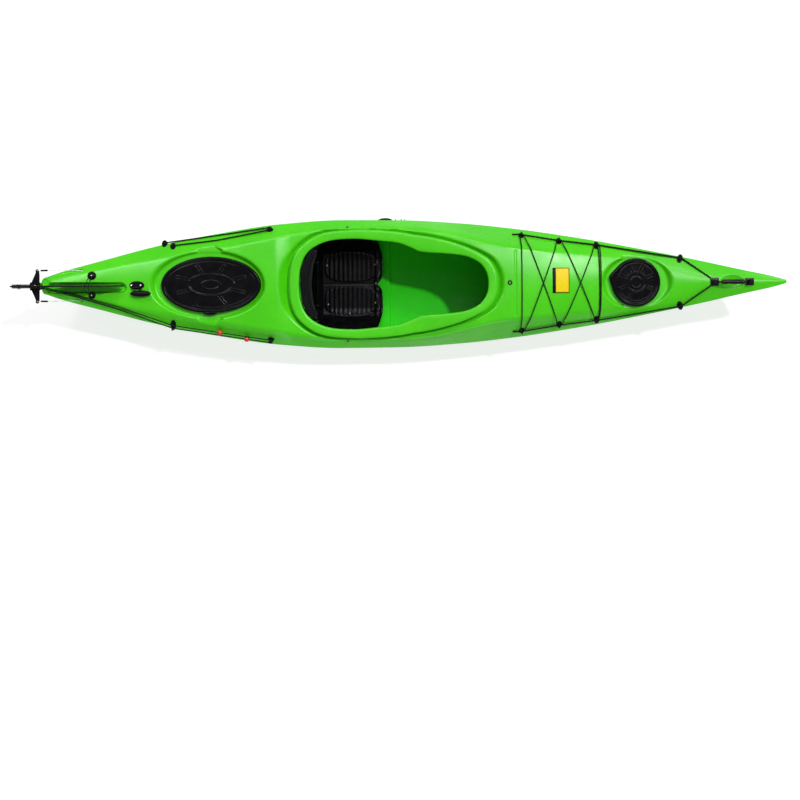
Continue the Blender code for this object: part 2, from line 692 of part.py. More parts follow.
def build_coaming(hull):
    """The raised rim round the cockpit, with its lip for a spray deck, joined to the deck."""
    wall_out = grown_loop(RIM_LOOP, -RIM_LIP)
    wall_in = grown_loop(RIM_LOOP, -RIM_LIP - WALL)
    inner_out = grown_loop(OPENING_LOOP, WALL)
    bottom = WELL_DEPTH + WALL / 2
    profile = [
        at_rim(OPENING_LOOP, RIM_INNER_DROP),
        at_rim(OPENING_LOOP, 0.002),
        at_rim(grown_loop(RIM_LOOP, -0.003), 0.0),
        at_rim(RIM_LOOP, 0.003),
        at_rim(RIM_LOOP, RIM_EDGE_DROP),
        at_rim(wall_out, RIM_EDGE_DROP + 0.002),
        at_rim(wall_out, bottom),
        at_rim(wall_in, bottom),
        at_rim(wall_in, WALL + 0.003),
        at_rim(inner_out, WALL),
        at_rim(inner_out, RIM_INNER_DROP),
    ]
    coaming = as_cutter(ring_body("coaming", profile, GREEN))
    hole = grown_loop(RIM_LOOP, -RIM_LIP - WALL / 2)
    hatchway = as_cutter(plan_loft("hatchway", [(hole, 0.15), (hole, 0.5)]))
    cut(hull, hatchway)
    join(hull, coaming)


HULL = build_hull()
build_coaming(HULL)
STERN_HATCH = (STERN_HATCH_X, STERN_HATCH_HALF_LENGTH, STERN_HATCH_HALF_WIDTH, STERN_FLOOR_Z)
BOW_HATCH = (BOW_HATCH_X, BOW_HATCH_RADIUS, BOW_HATCH_RADIUS, BOW_FLOOR_Z)
for hatch_name, hatch in (("stern_rim", STERN_HATCH), ("bow_rim", BOW_HATCH)):
    rim_hole, rim_ring = hatch_rim(hatch_name, *hatch)
    cut(HULL, rim_hole)
    join(HULL, rim_ring)
for length_name, aft_end, fore_end in LENGTHS:
    length = box(length_name, (aft_end + GAP / 2, -HALF_BEAM - 0.05, -0.05),
                 (fore_end - GAP / 2, HALF_BEAM + 0.05, HULL_DEPTH + 0.1), GREEN)
    boolean(length, HULL, "INTERSECT")
SKIN = as_cutter(hull_skin("skin_guide", GAP, STATIONS))
INSIDE = as_cutter(hull_skin("inside_guide", -WALL - GAP, INNER_STATIONS))
cut(INSIDE, *recess_set("guide", WALL + GAP))


# Hatch covers


def build_cover(name, centre_x, half_length, half_width, floor_z, boss, ribs, tabs):
    """A moulded cover: a skirt over the rim, a ridge round the edge, a raised ring and ribs that fan out."""
    top = floor_z + COVER_HEIGHT

    def ring(inset):
        return oval(half_length - inset, half_width - inset, HATCH_SEGMENTS, (centre_x, 0.0))

    def boss_ring(spread):
        return oval(boss[0] + spread, boss[1] + spread, HATCH_SEGMENTS, (centre_x, 0.0))

    levels = [
        (ring(0.001), floor_z + 0.0006), (ring(0.0), floor_z + 0.004), (ring(0.001), top - 0.007),
        (ring(0.005), top - 0.001), (ring(0.01), top), (ring(0.014), top - 0.001), (ring(0.018), top - 0.005),
        (boss_ring(0.008), top - 0.003), (boss_ring(0.003), top + 0.003), (boss_ring(-0.003), top + 0.003),
        (boss_ring(-0.008), top - 0.002),
    ]
    cover = plan_loft(name, levels, BLACK)
    for k in range(ribs):
        angle = 2 * math.pi * (k + 0.5) / ribs
        turn = Vector((math.cos(angle), math.sin(angle)))
        start = (centre_x + boss[0] * turn.x, boss[1] * turn.y, top - 0.004)
        end = (centre_x + (half_length - 0.014) * turn.x, (half_width - 0.014) * turn.y, top - 0.0045)
        join(cover, as_cutter(rod(f"{name}_rib_{k}", start, end, 0.0042, BLACK, 6)))
    for k, (x, y) in enumerate(tabs):
        low = oval(0.026, 0.013, 16, (x, y))
        high = oval(0.021, 0.008, 16, (x, y))
        join(cover, as_cutter(plan_loft(f"{name}_tab_{k}", [(low, top - 0.008), (high, top + 0.006)], BLACK)))
    rim_top = floor_z + HATCH_RIM_HEIGHT + GAP
    seat = ring(RIM_INSET - 0.001)
    hollow = ring(RIM_INSET + HATCH_RIM_WALL + 0.002)
    groove = as_cutter(plan_loft(f"{name}_groove", [(seat, floor_z - 0.01), (seat, rim_top)], BLACK))
    inside = as_cutter(plan_loft(f"{name}_inside", [(hollow, floor_z - 0.01), (hollow, top - 0.0085)], BLACK))
    return cut(cover, groove, inside)


build_cover("stern_hatch_cover", *STERN_HATCH, (0.106, 0.046), 8, ((-1.02, 0.1), (-1.02, -0.1)))
build_cover("bow_hatch_cover", *BOW_HATCH, (0.044, 0.044), 8, ((1.035, 0.0),))


# Bulkheads


def build_bulkhead(name, x0, x1):
    """A foam wall that fits the inside of the hull."""
    wall = box(name, (x0, -HALF_BEAM, -0.01), (x1, HALF_BEAM, HULL_DEPTH), FOAM)
    return boolean(wall, INSIDE, "INTERSECT")


STERN_BULKHEAD = build_bulkhead("stern_bulkhead", -0.72, -0.68)
BOW_BULKHEAD = build_bulkhead("bow_bulkhead", 0.885, 0.92)


# Seat


def seat_height(x, y):
    """The height of the seat's face: ribs under the thighs, raised sides and a lip at the back."""
    y = abs(y)
    z = SEAT_Z + 0.05 * max(0.0, (y - 0.12) / 0.052) ** 2
    if x < RIB_START:
        z += 0.058 * ((RIB_START - x) / (RIB_START - SEAT_X[0])) ** 1.5
    if x > -0.2:
        z += 0.012 * math.sin(math.pi * min((x + 0.2) / 0.04, 1.0)) + 0.006 * (x + 0.2) / 0.04
    place = (x - RIB_START) / RIB_PITCH
    if 0.0 < place < RIB_COUNT and 0.004 < y < 0.125:
        z += RIB_HEIGHT * math.sin(math.pi * (place % 1.0))
    return z


def build_seat():
    rib_columns = [RIB_START + RIB_PITCH * k / 2 for k in range(2 * RIB_COUNT + 1)]
    xs = [SEAT_X[0], -0.487, -0.474, *rib_columns, -0.18, -0.17, SEAT_X[1]]
    half = (0.005, 0.122, 0.14, SEAT_HALF_WIDTH)
    ys = [-y for y in reversed(half)] + [0.0, *half]
    bm = bmesh.new()
    tops = [[bm.verts.new((x, y, seat_height(x, y))) for y in ys] for x in xs]
    lows = [[bm.verts.new((x, y, seat_height(x, y) - SEAT_WALL)) for y in ys] for x in xs]
    rows, columns = len(xs), len(ys)
    for i in range(rows - 1):
        for j in range(columns - 1):
            bm.faces.new((tops[i][j], tops[i + 1][j], tops[i + 1][j + 1], tops[i][j + 1]))
            bm.faces.new((lows[i][j], lows[i][j + 1], lows[i + 1][j + 1], lows[i + 1][j]))
    edge = [(0, j) for j in range(columns)] + [(i, columns - 1) for i in range(1, rows)]
    edge += [(rows - 1, j) for j in range(columns - 2, -1, -1)] + [(i, 0) for i in range(rows - 2, 0, -1)]
    for (i, j), (k, m) in zip(edge, edge[1:] + edge[:1]):
        bm.faces.new((tops[i][j], tops[k][m], lows[k][m], lows[i][j]))
    seat = add("seat_pan", mesh_of(bm, "seat_pan"), BLACK)
    hinge_x, _, hinge_z = BACKREST_HINGE
    for side, y in SIDES:
        foot = box(f"seat_foot_{side}", (-0.42, y * 0.06 - 0.008, 0.0),
                   (-0.22, y * 0.06 + 0.008, 0.044), BLACK)
        boolean(foot, INSIDE, "INTERSECT")
        ear = box(f"seat_ear_{side}", (hinge_x - 0.01, y * 0.113 - 0.003, hinge_z - 0.012),
                  (SEAT_X[0] + 0.008, y * 0.113 + 0.003, hinge_z + 0.01), BLACK)
        join(seat, as_cutter(foot), as_cutter(ear))
    drill(seat, "seat_hinge_bore", (hinge_x, -0.13, hinge_z), (hinge_x, 0.13, hinge_z), 0.0043)
    rod("backrest_rod", (hinge_x, -0.122, hinge_z), (hinge_x, 0.122, hinge_z), 0.004, STEEL)
    return seat


def build_backrest():
    """A padded back band that follows the aft end of the cockpit, crowned and drawn in at its ends."""
    aft_at = line_through(BACKREST_AFT)
    rings = []
    stations = 13
    for k in range(stations):
        y = 0.178 * (2 * k / (stations - 1) - 1)
        share = abs(y) / 0.178
        thick = 0.046 * (1 - 0.55 * share**3)
        half_height = 0.088 * (1 - 0.32 * share**3.5)
        middle_x, middle_z = aft_at(abs(y)) + thick / 2, 0.222
        ring = []
        for step in range(16):
            angle = 2 * math.pi * step / 16
            c, q = math.cos(angle), math.sin(angle)
            ring.append((middle_x + thick / 2 * math.copysign(abs(c) ** 0.7, c), y,
                         middle_z + half_height * math.copysign(abs(q) ** 0.55, q)))
        rings.append(ring)
    back = lofted("backrest", rings, FABRIC)
    hinge_x, _, hinge_z = BACKREST_HINGE
    for side, y in SIDES:
        lug = box(f"back_lug_{side}", (hinge_x - 0.009, y * 0.1035 - 0.003, hinge_z - 0.01),
                  (hinge_x + 0.009, y * 0.1035 + 0.003, 0.16), BLACK)
        join(back, as_cutter(lug))
    drill(back, "back_hinge_bore", (hinge_x, -0.13, hinge_z), (hinge_x, 0.13, hinge_z), 0.0043)
    return back


def strap(name, path, x_range, y):
    """A bent sheet whose section, from inboard to outboard, is drawn through (y, z) points."""
    points = [Vector((0.0, py, pz)) for py, pz in path]
    rings = []
    for i, point in enumerate(points):
        ahead, behind = points[min(i + 1, len(points) - 1)], points[max(i - 1, 0)]
        along = (ahead - behind).normalized()
        across = Vector((0.0, -along.z, along.y)) * HANGER_THICK / 2
        low, high = point - across, point + across
        rings.append([(x_range[0], y * low.y, low.z), (x_range[1], y * low.y, low.z),
                      (x_range[1], y * high.y, high.z), (x_range[0], y * high.y, high.z)])
    return lofted(name, rings, BLACK)


def build_hanger(side, y):
    """The seat's side panel and its strap, up to the underside of the deck, with the bolt."""
    x = sum(HANGER_X) / 2
    surface = Vector((x, y * HANGER_BOLT_Y, deck_z(x, HANGER_BOLT_Y)))
    normal = Vector((0.0, 0.0, 1.0))
    flange_middle = surface - normal * 0.014
    path = [*HANGER_PATH, (abs(flange_middle.y) - 0.0085, flange_middle.z)]
    hanger = strap(f"seat_hanger_{side}", path, HANGER_X, y)
    join(hanger, as_cutter(strap(f"seat_panel_{side}", PANEL_PATH, PANEL_X, y)))
    low, high = surface - normal * 0.017, surface - normal * 0.011
    flange = as_cutter(rod(f"hanger_flange_{side}", low, high, 0.01, BLACK))
    join(hanger, flange)
    boolean(hanger, INSIDE, "INTERSECT")
    drill(hanger, f"hanger_bore_{side}", surface, surface - normal * 0.05, 0.0036)
    drill(HULL, f"seat_bolt_bore_{side}", surface + normal * 0.02, surface - normal * 0.03, 0.0036)
    bolt = rod(f"seat_bolt_{side}", surface + normal * 0.0032, surface - normal * 0.023, 0.0032, STEEL)
    head = rod(f"seat_bolt_head_{side}", surface - normal * 0.008, surface + normal * 0.004, 0.0065, STEEL)
    nut = rod(f"seat_bolt_nut_{side}", surface - normal * 0.0173, surface - normal * 0.022, 0.006, STEEL, 6)
    join(bolt, as_cutter(cut(head, SKIN)), as_cutter(nut))


SEAT = build_seat()
build_backrest()
for hanger_side, hanger_y in SIDES:
    build_hanger(hanger_side, hanger_y)


# Foot braces


def side_half(x, z):
    """The half breadth of the outer skin at a height on the hull's side."""
    section = half_section(x)
    for (low, low_z), (high, high_z) in zip(section[:5], section[1:6]):
        if z <= high_z:
            return low + (high - low) * (z - low_z) / (high_z - low_z)
    return section[5][0]


def rail_frame(side_sign):
    """The rail's place: x runs along it, y points inboard and z up."""
    aft = Vector((RAIL_X[0], side_sign * (side_half(RAIL_X[0], RAIL_Z) - RAIL_STAND_OFF), RAIL_Z))
    fore = Vector((RAIL_X[1], side_sign * (side_half(RAIL_X[1], RAIL_Z) - RAIL_STAND_OFF), RAIL_Z))
    along = (fore - aft).normalized()
    inboard = Vector((0.0, 0.0, 1.0)).cross(along) * (-side_sign)
    turn = Matrix((along, inboard, Vector((0.0, 0.0, 1.0)))).transposed().to_4x4()
    return Matrix.Translation(aft) @ turn, (fore - aft).length


def local_box(name, low, high, finish, frame):
    made = box(name, low, high, finish)
    made.data.transform(frame)
    if frame.determinant() < 0:
        made.data.flip_normals()
    return made


def build_foot_brace(side, y):
    frame, length = rail_frame(y)
    inner = RAIL_THICK / 2
    depth, width = RAIL_GROOVE
    rail = local_box(f"foot_brace_rail_{side}", (0.0, -inner, -RAIL_HEIGHT / 2), (length, inner, RAIL_HEIGHT / 2),
                     BLACK, frame)
    groove = local_box(f"rail_groove_{side}", (0.008, inner - depth, -width / 2),
                       (length - 0.008, inner + 0.01, width / 2), BLACK, frame)
    cut(rail, as_cutter(groove))
    for k, x in enumerate(RAIL_BOLTS):
        share = (x - RAIL_X[0]) / (RAIL_X[1] - RAIL_X[0])
        start = frame @ Vector((share * length, -inner + 0.001, 0.0))
        skin = Vector((start.x, y * side_half(start.x, RAIL_Z), RAIL_Z))
        out = (skin - start).normalized()
        shank = rod(f"rail_bolt_{side}_{k}", start, skin + out * 0.002, 0.0038, STEEL, 12)
        head = rod(f"rail_head_{side}_{k}", skin - out * 0.006, skin + out * 0.0045, 0.008, STEEL, 16, 0.006)
        join(rail, as_cutter(shank), as_cutter(cut(head, SKIN)))
        drill(HULL, f"rail_bore_{side}_{k}", start + out * 0.004, skin + out * 0.02, 0.0043)
    share = (PEDAL_X - RAIL_X[0]) / (RAIL_X[1] - RAIL_X[0])
    place = Matrix.Translation(frame @ Vector((share * length, 0, 0)))
    place = place @ frame.to_3x3().to_4x4()
    pedal = local_box(f"foot_pedal_{side}", (-0.035, inner + 0.0006, -0.02),
                      (0.035, inner + 0.014, 0.02), BLACK, place)
    tongue = local_box(f"pedal_tongue_{side}", (-0.03, inner - depth + 0.0006, -width / 2 + 0.0006),
                       (0.03, inner + 0.006, width / 2 - 0.0006), BLACK, place)
    pad = local_box(f"pedal_pad_{side}", (-0.006, inner + 0.01, -0.035),
                    (0.002, inner + 0.082, 0.062), BLACK, place)
    rib = local_box(f"pedal_rib_{side}", (0.0, inner + 0.01, -0.004),
                    (0.03, inner + 0.06, 0.004), BLACK, place)
    join(pedal, as_cutter(tongue), as_cutter(pad), as_cutter(rib))
    print(f"foot brace {side}: along {tuple(round(v, 4) for v in frame.to_3x3().col[0])}, "
          f"pedal at {tuple(round(v, 4) for v in place.translation)}")


for brace_side, brace_y in SIDES:
    build_foot_brace(brace_side, brace_y)


# Rudder


def slab(name, outline, low, high, finish):
    """A flat plate whose outline stands in the x-z plane."""
    return lofted(name, [[(x, low, z) for x, z in outline], [(x, high, z) for x, z in outline]], finish)


def build_blade():
    arc = [math.radians(a) for a in range(BLADE_HEAD_ARC[0], BLADE_HEAD_ARC[1] + 1, 15)]
    radius = BLADE_HEAD_RADIUS
    head = [(PIVOT[0] + radius * math.cos(a), PIVOT[2] + radius * math.sin(a)) for a in arc]
    half = BLADE_THICK / 2
    blade = slab("rudder_blade", [*head, *BLADE_OUTLINE], BLADE_Y - half, BLADE_Y + half, BLACK)
    bevel = blade.modifiers.new("edge", "BEVEL")
    bevel.width = 0.002
    bevel.segments = 2
    bevel.limit_method = "ANGLE"
    (x0, z0), (x1, z1) = BLADE_SLOT
    cut(blade, as_cutter(box("blade_slot", (x0, -0.05, z0), (x1, 0.05, z1), BLACK)))
    drill(blade, "blade_bore", (PIVOT[0], -0.05, PIVOT[2]), (PIVOT[0], 0.05, PIVOT[2]), 0.0054)


def build_housing():
    inner = BLADE_THICK / 2 + GAP
    outer = inner + CHEEK_THICK
    housing = box("rudder_housing", BLOCK_LOW, BLOCK_HIGH, BLACK)
    web = at_depth((-1.972, 0.335), (-1.94, 0.2895), (-1.893, 0.2895), (-1.893, 0.3172), (-1.9145, 0.3172),
                   (-1.9145, 0.33), (-1.926, 0.35))
    for side, y in SIDES:
        low, high = sorted((BLADE_Y + y * inner, BLADE_Y + y * outer))
        ends = ((PIVOT[0], low, PIVOT[2]), (PIVOT[0], high, PIVOT[2]))
        cheek = rod(f"cheek_{side}", *ends, CHEEK_RADIUS, BLACK, 28)
        join(housing, as_cutter(cheek), as_cutter(slab(f"cheek_web_{side}", web, low, high, BLACK)))
    drill(housing, "pivot_bore", (PIVOT[0], -0.05, PIVOT[2]), (PIVOT[0], 0.05, PIVOT[2]), 0.0054)
    drill(housing, "housing_pin_bore", (PIN_X, BLADE_Y, BLOCK_LOW[2] - 0.009),
          (PIN_X, BLADE_Y, BLOCK_HIGH[2] + 0.0123), PIN_RADIUS + 0.0004)
    reach = outer + GAP
    bolt = rod("blade_pivot_bolt", (PIVOT[0], BLADE_Y - reach - 0.002, PIVOT[2]),
               (PIVOT[0], BLADE_Y + reach + 0.002, PIVOT[2]), 0.005, STEEL)
    for side, y in SIDES:
        head = rod(f"pivot_head_{side}", (PIVOT[0], BLADE_Y + y * reach, PIVOT[2]),
                   (PIVOT[0], BLADE_Y + y * (reach + 0.005), PIVOT[2]), 0.0095, STEEL, 20, 0.007)
        join(bolt, as_cutter(head))


def build_yoke():
    """The swept bar that the two cables pull, bolted on top of the housing."""
    outline = [*YOKE_HALF, *[(x, -y) for x, y in reversed(YOKE_HALF[1:-1])]]
    shifted = [(x, y + BLADE_Y) for x, y in outline]
    yoke = plan_loft("rudder_yoke", [(shifted, YOKE_Z[0]), (shifted, YOKE_Z[1])], BLACK)
    below, above = YOKE_Z[0] - 0.01, YOKE_Z[1] + 0.01
    for k, x in enumerate((-1.901, -1.877)):
        for side, y in SIDES:
            head = rod(f"yoke_bolt_{side}_{k}", (x, BLADE_Y + y * 0.0145, YOKE_Z[1] - 0.003),
                       (x, BLADE_Y + y * 0.0145, YOKE_Z[1] + 0.0035), 0.0045, BLACK, 12)
            join(yoke, as_cutter(head))
    for side, y in SIDES:
        x, hole_y = YOKE_HOLE
        drill(yoke, f"yoke_bore_{side}", (x, y * hole_y, below), (x, y * hole_y, above), 0.0032)
    drill(yoke, "yoke_pin_bore", (PIN_X, BLADE_Y, below), (PIN_X, BLADE_Y, above), PIN_RADIUS + 0.0004)
    web_relief = box("web_relief", (-1.93, BLADE_Y - 0.011, below), (-1.9137, BLADE_Y + 0.011, above), BLACK)
    cut(yoke, as_cutter(web_relief))
    pin = rod("rudder_pin", (PIN_X, BLADE_Y, LUG_LOW[2] - 0.011), (PIN_X, BLADE_Y, YOKE_Z[1] + 0.0015),
              PIN_RADIUS, STEEL)
    head = rod("rudder_pin_head", (PIN_X, BLADE_Y, YOKE_Z[1] + GAP), (PIN_X, BLADE_Y, YOKE_Z[1] + 0.0055),
               0.0065, STEEL)
    join(pin, as_cutter(head))


build_blade()
build_housing()
build_yoke()


def build_cable(side, y):
    """A steering cable from the yoke, through its sleeve and the deck, to the foot brace."""
    route = [Vector((x, y * py, z)) for x, py, z in CABLE_PATH]
    frame, _ = rail_frame(y)
    anchor = frame @ Vector((0.012, 0.0, 0.0))
    tube(f"rudder_cable_{side}", [*route, anchor], CABLE_RADIUS, STEEL)
    drill(bpy.data.objects[f"foot_brace_rail_{side}"], f"rail_cable_bore_{side}",
          anchor + (anchor - route[-1]).normalized() * 0.003, route[-1], CABLE_RADIUS + 0.0006)
    drill(HULL, f"cable_entry_{side}", route[7].lerp(route[8], 0.1), route[8], 0.0034)
    drill(STERN_BULKHEAD, f"cable_bore_{side}", route[12], route[13], 0.0022)
    sleeve_ends = (route[4].lerp(route[5], 0.04), route[5].lerp(route[4], 0.04))
    sleeve = rod(f"cable_sleeve_{side}", *sleeve_ends, 0.0045, BLACK, 14)
    drill(sleeve, f"sleeve_bore_{side}", route[4].lerp(route[5], -0.2), route[5].lerp(route[4], -0.2),
          CABLE_RADIUS + 0.0005)


for cable_side, cable_y in SIDES:
    build_cable(cable_side, cable_y)


# Deck fittings


def deck_frame(x, y, heading):
    """A place on the deck: x runs along the heading, z is the outward normal."""
    normal = deck_normal(x, y)
    along = Vector((heading[0], heading[1], 0.0))
    along = (along - normal * along.dot(normal)).normalized()
    turn = Matrix((along, normal.cross(along), normal)).transposed().to_4x4()
    return Matrix.Translation((x, y, deck_z(x, y))) @ turn


def local_loft(name, levels, finish, frame):
    rings = [[frame @ Vector((x, y, z)) for x, y in outline] for outline, z in levels]
    return lofted(name, rings, finish)


def foot_plate(name, half_length, half_width, thick, finish, frame, segments=12):
    """A rounded base that takes the deck's shape underneath."""
    edge = oval(half_length, half_width, segments)
    top = oval(half_length - 0.0015, half_width - 0.0015, segments)
    plate = local_loft(name, [(edge, -0.012), (edge, thick - 0.0012), (top, thick)], finish, frame)
    return cut(plate, SKIN)


def pad_eye(name, x, y, heading, height=EYE_HEIGHT, span=EYE_SPAN):
    """A base with an arch that cords run through."""
    frame = deck_frame(x, y, heading)
    eye = foot_plate(name, 0.012, span + 0.008, FOOT_THICK, BLACK, frame)
    arch = [(0.0, span * math.cos(a), 0.001 + (height - 0.001) * math.sin(a) ** 0.8)
            for a in (math.pi * k / 6 for k in range(7))]
    wire = tube(f"{name}_arch", [frame @ Vector(p) for p in arch], EYE_WIRE, BLACK)
    join(eye, as_cutter(mesh_from_curve(wire)))
    return frame


def dome(name, x, y, radius, height, finish):
    frame = deck_frame(x, y, (1.0, 0.0))
    levels = [(oval(radius * share, radius * share, 16), z)
              for share, z in ((1.0, -0.012), (1.0, height * 0.35), (0.86, height * 0.72), (0.5, height))]
    return cut(local_loft(name, levels, finish, frame), SKIN), frame


def over_deck(x, y, clearance):
    """A point that stands off the deck by a clearance, measured square to it, straight above x, y."""
    return Vector((x, y, deck_z(x, y) + clearance / deck_normal(x, y).z))


def taut(start, end, clearance, bumps=()):
    """A stretched cord between two points, resting on the deck where it would cut through it."""
    start, end = Vector(start), Vector(end)
    length = (end.xy - start.xy).length
    count = max(int(length / 0.004), 2)
    points = [(0.0, start.z)]
    for k in range(1, count):
        place = start.lerp(end, k / count)
        extra = sum(rise for at, reach, rise in bumps if abs(k / count * length - at) < reach)
        points.append((k / count * length, over_deck(place.x, place.y, clearance).z + extra))
    points.append((length, end.z))
    hull_points = []
    for point in points:
        while len(hull_points) > 1:
            (ax, az), (bx, bz) = hull_points[-2:]
            if (bx - ax) * (point[1] - az) - (bz - az) * (point[0] - ax) < 0:
                break
            hull_points.pop()
        hull_points.append(point)
    kept = [hull_points[0]]
    for i, (t, z) in enumerate(hull_points[1:-1], 1):
        (at, az), (bt, bz) = kept[-1], hull_points[i + 1]
        if z - az - (bz - az) * (t - at) / (bt - at) > CORD_SAG or t - at > 0.09:
            kept.append((t, z))
    kept.append(hull_points[-1])
    return [Vector((*start.xy.lerp(end.xy, t / length), z)) for t, z in kept]


LIFT_EYE = (-1.217, -0.202)
LIFT_END = (-0.722, -0.277)
LIFT_IN_EYE = 0.0172
STRAND_HALF = 0.009
BALL_X = (("inboard", -0.979), ("outboard", -0.845))
LIFT_START = at_depth(
    (-1.905, -0.0090, 0.3555), (-1.87, -0.0105, 0.339), (-1.845, -0.0115, 0.3185), (-1.7, -0.049, 0.3),
)


def end_post(name, x, y, heading, cord_height):
    """A base with a capped post that a doubled cord is looped round."""
    frame = deck_frame(x, y, heading)
    base = foot_plate(name, 0.017, 0.015, FOOT_THICK, BLACK, frame)
    levels = [(oval(0.0058, 0.0058, 14), 0.001), (oval(0.0058, 0.0058, 14), cord_height + 0.003),
              (oval(0.0125, 0.0125, 14), cord_height + 0.0034), (oval(0.011, 0.011, 14), cord_height + 0.0064)]
    join(base, as_cutter(local_loft(f"{name}_post", levels, BLACK, frame)))
    return frame


def round_post(frame, height, half, start_side):
    """The turn of a cord round a post, half way round, on the forward side."""
    turns = [math.radians(a) for a in (-80, -50, -20, 20, 50, 80)]
    points = [frame @ Vector((half * math.cos(a), half * math.sin(a), height)) for a in turns]
    return points if start_side < 0 else list(reversed(points))


def build_lift_line():
    """The rudder's lift line: out to the forward post and back, with a pull ball on each strand."""
    heading = Vector((LIFT_END[0] - LIFT_EYE[0], LIFT_END[1] - LIFT_EYE[1])).normalized()
    eye = pad_eye("lift_pad_eye", *LIFT_EYE, heading, height=0.0285, span=0.019)
    post = end_post("lift_end_post", *LIFT_END, heading, LIFT_IN_EYE)
    strands = {}
    for name, side in (("inboard", 1), ("outboard", -1)):
        at_eye = eye @ Vector((0.0, side * STRAND_HALF, LIFT_IN_EYE))
        across = Vector((heading.y, -heading.x, 0.0)) * -side
        lead = [Vector(LIFT_START[0]), Vector(LIFT_START[1]), Vector(LIFT_START[2])]
        lead = [p + Vector((0.0, 0.0, side * 0.0034)) for p in lead[:2]] + [lead[2] + across * 0.0032]
        on_deck = over_deck(*(Vector(LIFT_START[3]) + across * 0.0045).xy, LIFT_CORD_RADIUS + 0.001)
        middle = over_deck(*(Vector((-1.486, -0.114, 0.0)) + across * 0.007).xy, LIFT_CORD_RADIUS + 0.001)
        path = [*lead[:2], *taut(lead[2], on_deck, LIFT_CORD_RADIUS + 0.001)]
        path += taut(on_deck, middle, LIFT_CORD_RADIUS + 0.001)[1:]
        path += taut(middle, at_eye, LIFT_CORD_RADIUS + 0.001)[1:]
        strands[name] = path
    turn = round_post(post, LIFT_IN_EYE, STRAND_HALF, 1)
    route = [*strands["inboard"], *turn, *reversed(strands["outboard"])]
    tube("lift_line", route, LIFT_CORD_RADIUS, CORD)
    ends = {"inboard": turn[0], "outboard": turn[-1]}
    for name, x in BALL_X:
        start, end = strands[name][-1], ends[name]
        centre = start.lerp(end, (x - start.x) / (end.x - start.x))
        along = (end - start).normalized()
        bm = bmesh.new()
        bmesh.ops.create_uvsphere(bm, u_segments=14, v_segments=8, radius=BALL_RADIUS)
        turn_to = Vector((0, 0, 1)).rotation_difference(along).to_matrix().to_4x4()
        bmesh.ops.transform(bm, matrix=Matrix.Translation(centre) @ turn_to, verts=bm.verts)
        ball = add(f"lift_ball_{name}", mesh_of(bm, f"lift_ball_{name}"), RED)
        reach = along * 0.03
        drill(ball, f"ball_bore_{name}", centre - reach, centre + reach, LIFT_CORD_RADIUS + 0.0005)
        place, line = (tuple(round(v, 4) for v in each) for each in (centre, along))
        print(f"ball {name}: centre {place} along {line}, "
              f"clear of the deck by {centre.z - deck_z(centre.x, centre.y):.4f}")


def build_park_cord():
    """The elastic cord on the port quarter that holds a paddle: out to the forward post and back."""
    starts = ((-1.262, 0.211), (-1.216, 0.197))
    heading = Vector((-0.725 + 1.24, 0.277 - 0.205)).normalized()
    post = end_post("park_end_post", -0.725, 0.277, heading, 0.0095)
    routes = []
    for k, (x, y) in enumerate(starts):
        frame = pad_eye(f"park_eye_{k + 1}", x, y, heading, height=0.015, span=0.0095)
        side = 1 if k == 0 else -1
        via = over_deck(-0.995, 0.252 if k == 0 else 0.226, LINE_RADIUS + 0.0012)
        begin = frame @ Vector((-0.012, 0.0, LINE_IN_EYE))
        eye = frame @ Vector((0.008, 0.0, LINE_IN_EYE))
        meet = post @ Vector((-0.012, side * 0.0092, 0.0095))
        route = [begin, *taut(eye, via, LINE_RADIUS + 0.0006), *taut(via, meet, LINE_RADIUS + 0.0006)[1:]]
        routes.append(route)
    turn = round_post(post, 0.0095, 0.0092, 1)
    tube("paddle_park_cord", [*routes[0], *turn, *reversed(routes[1])], LINE_RADIUS, CORD)


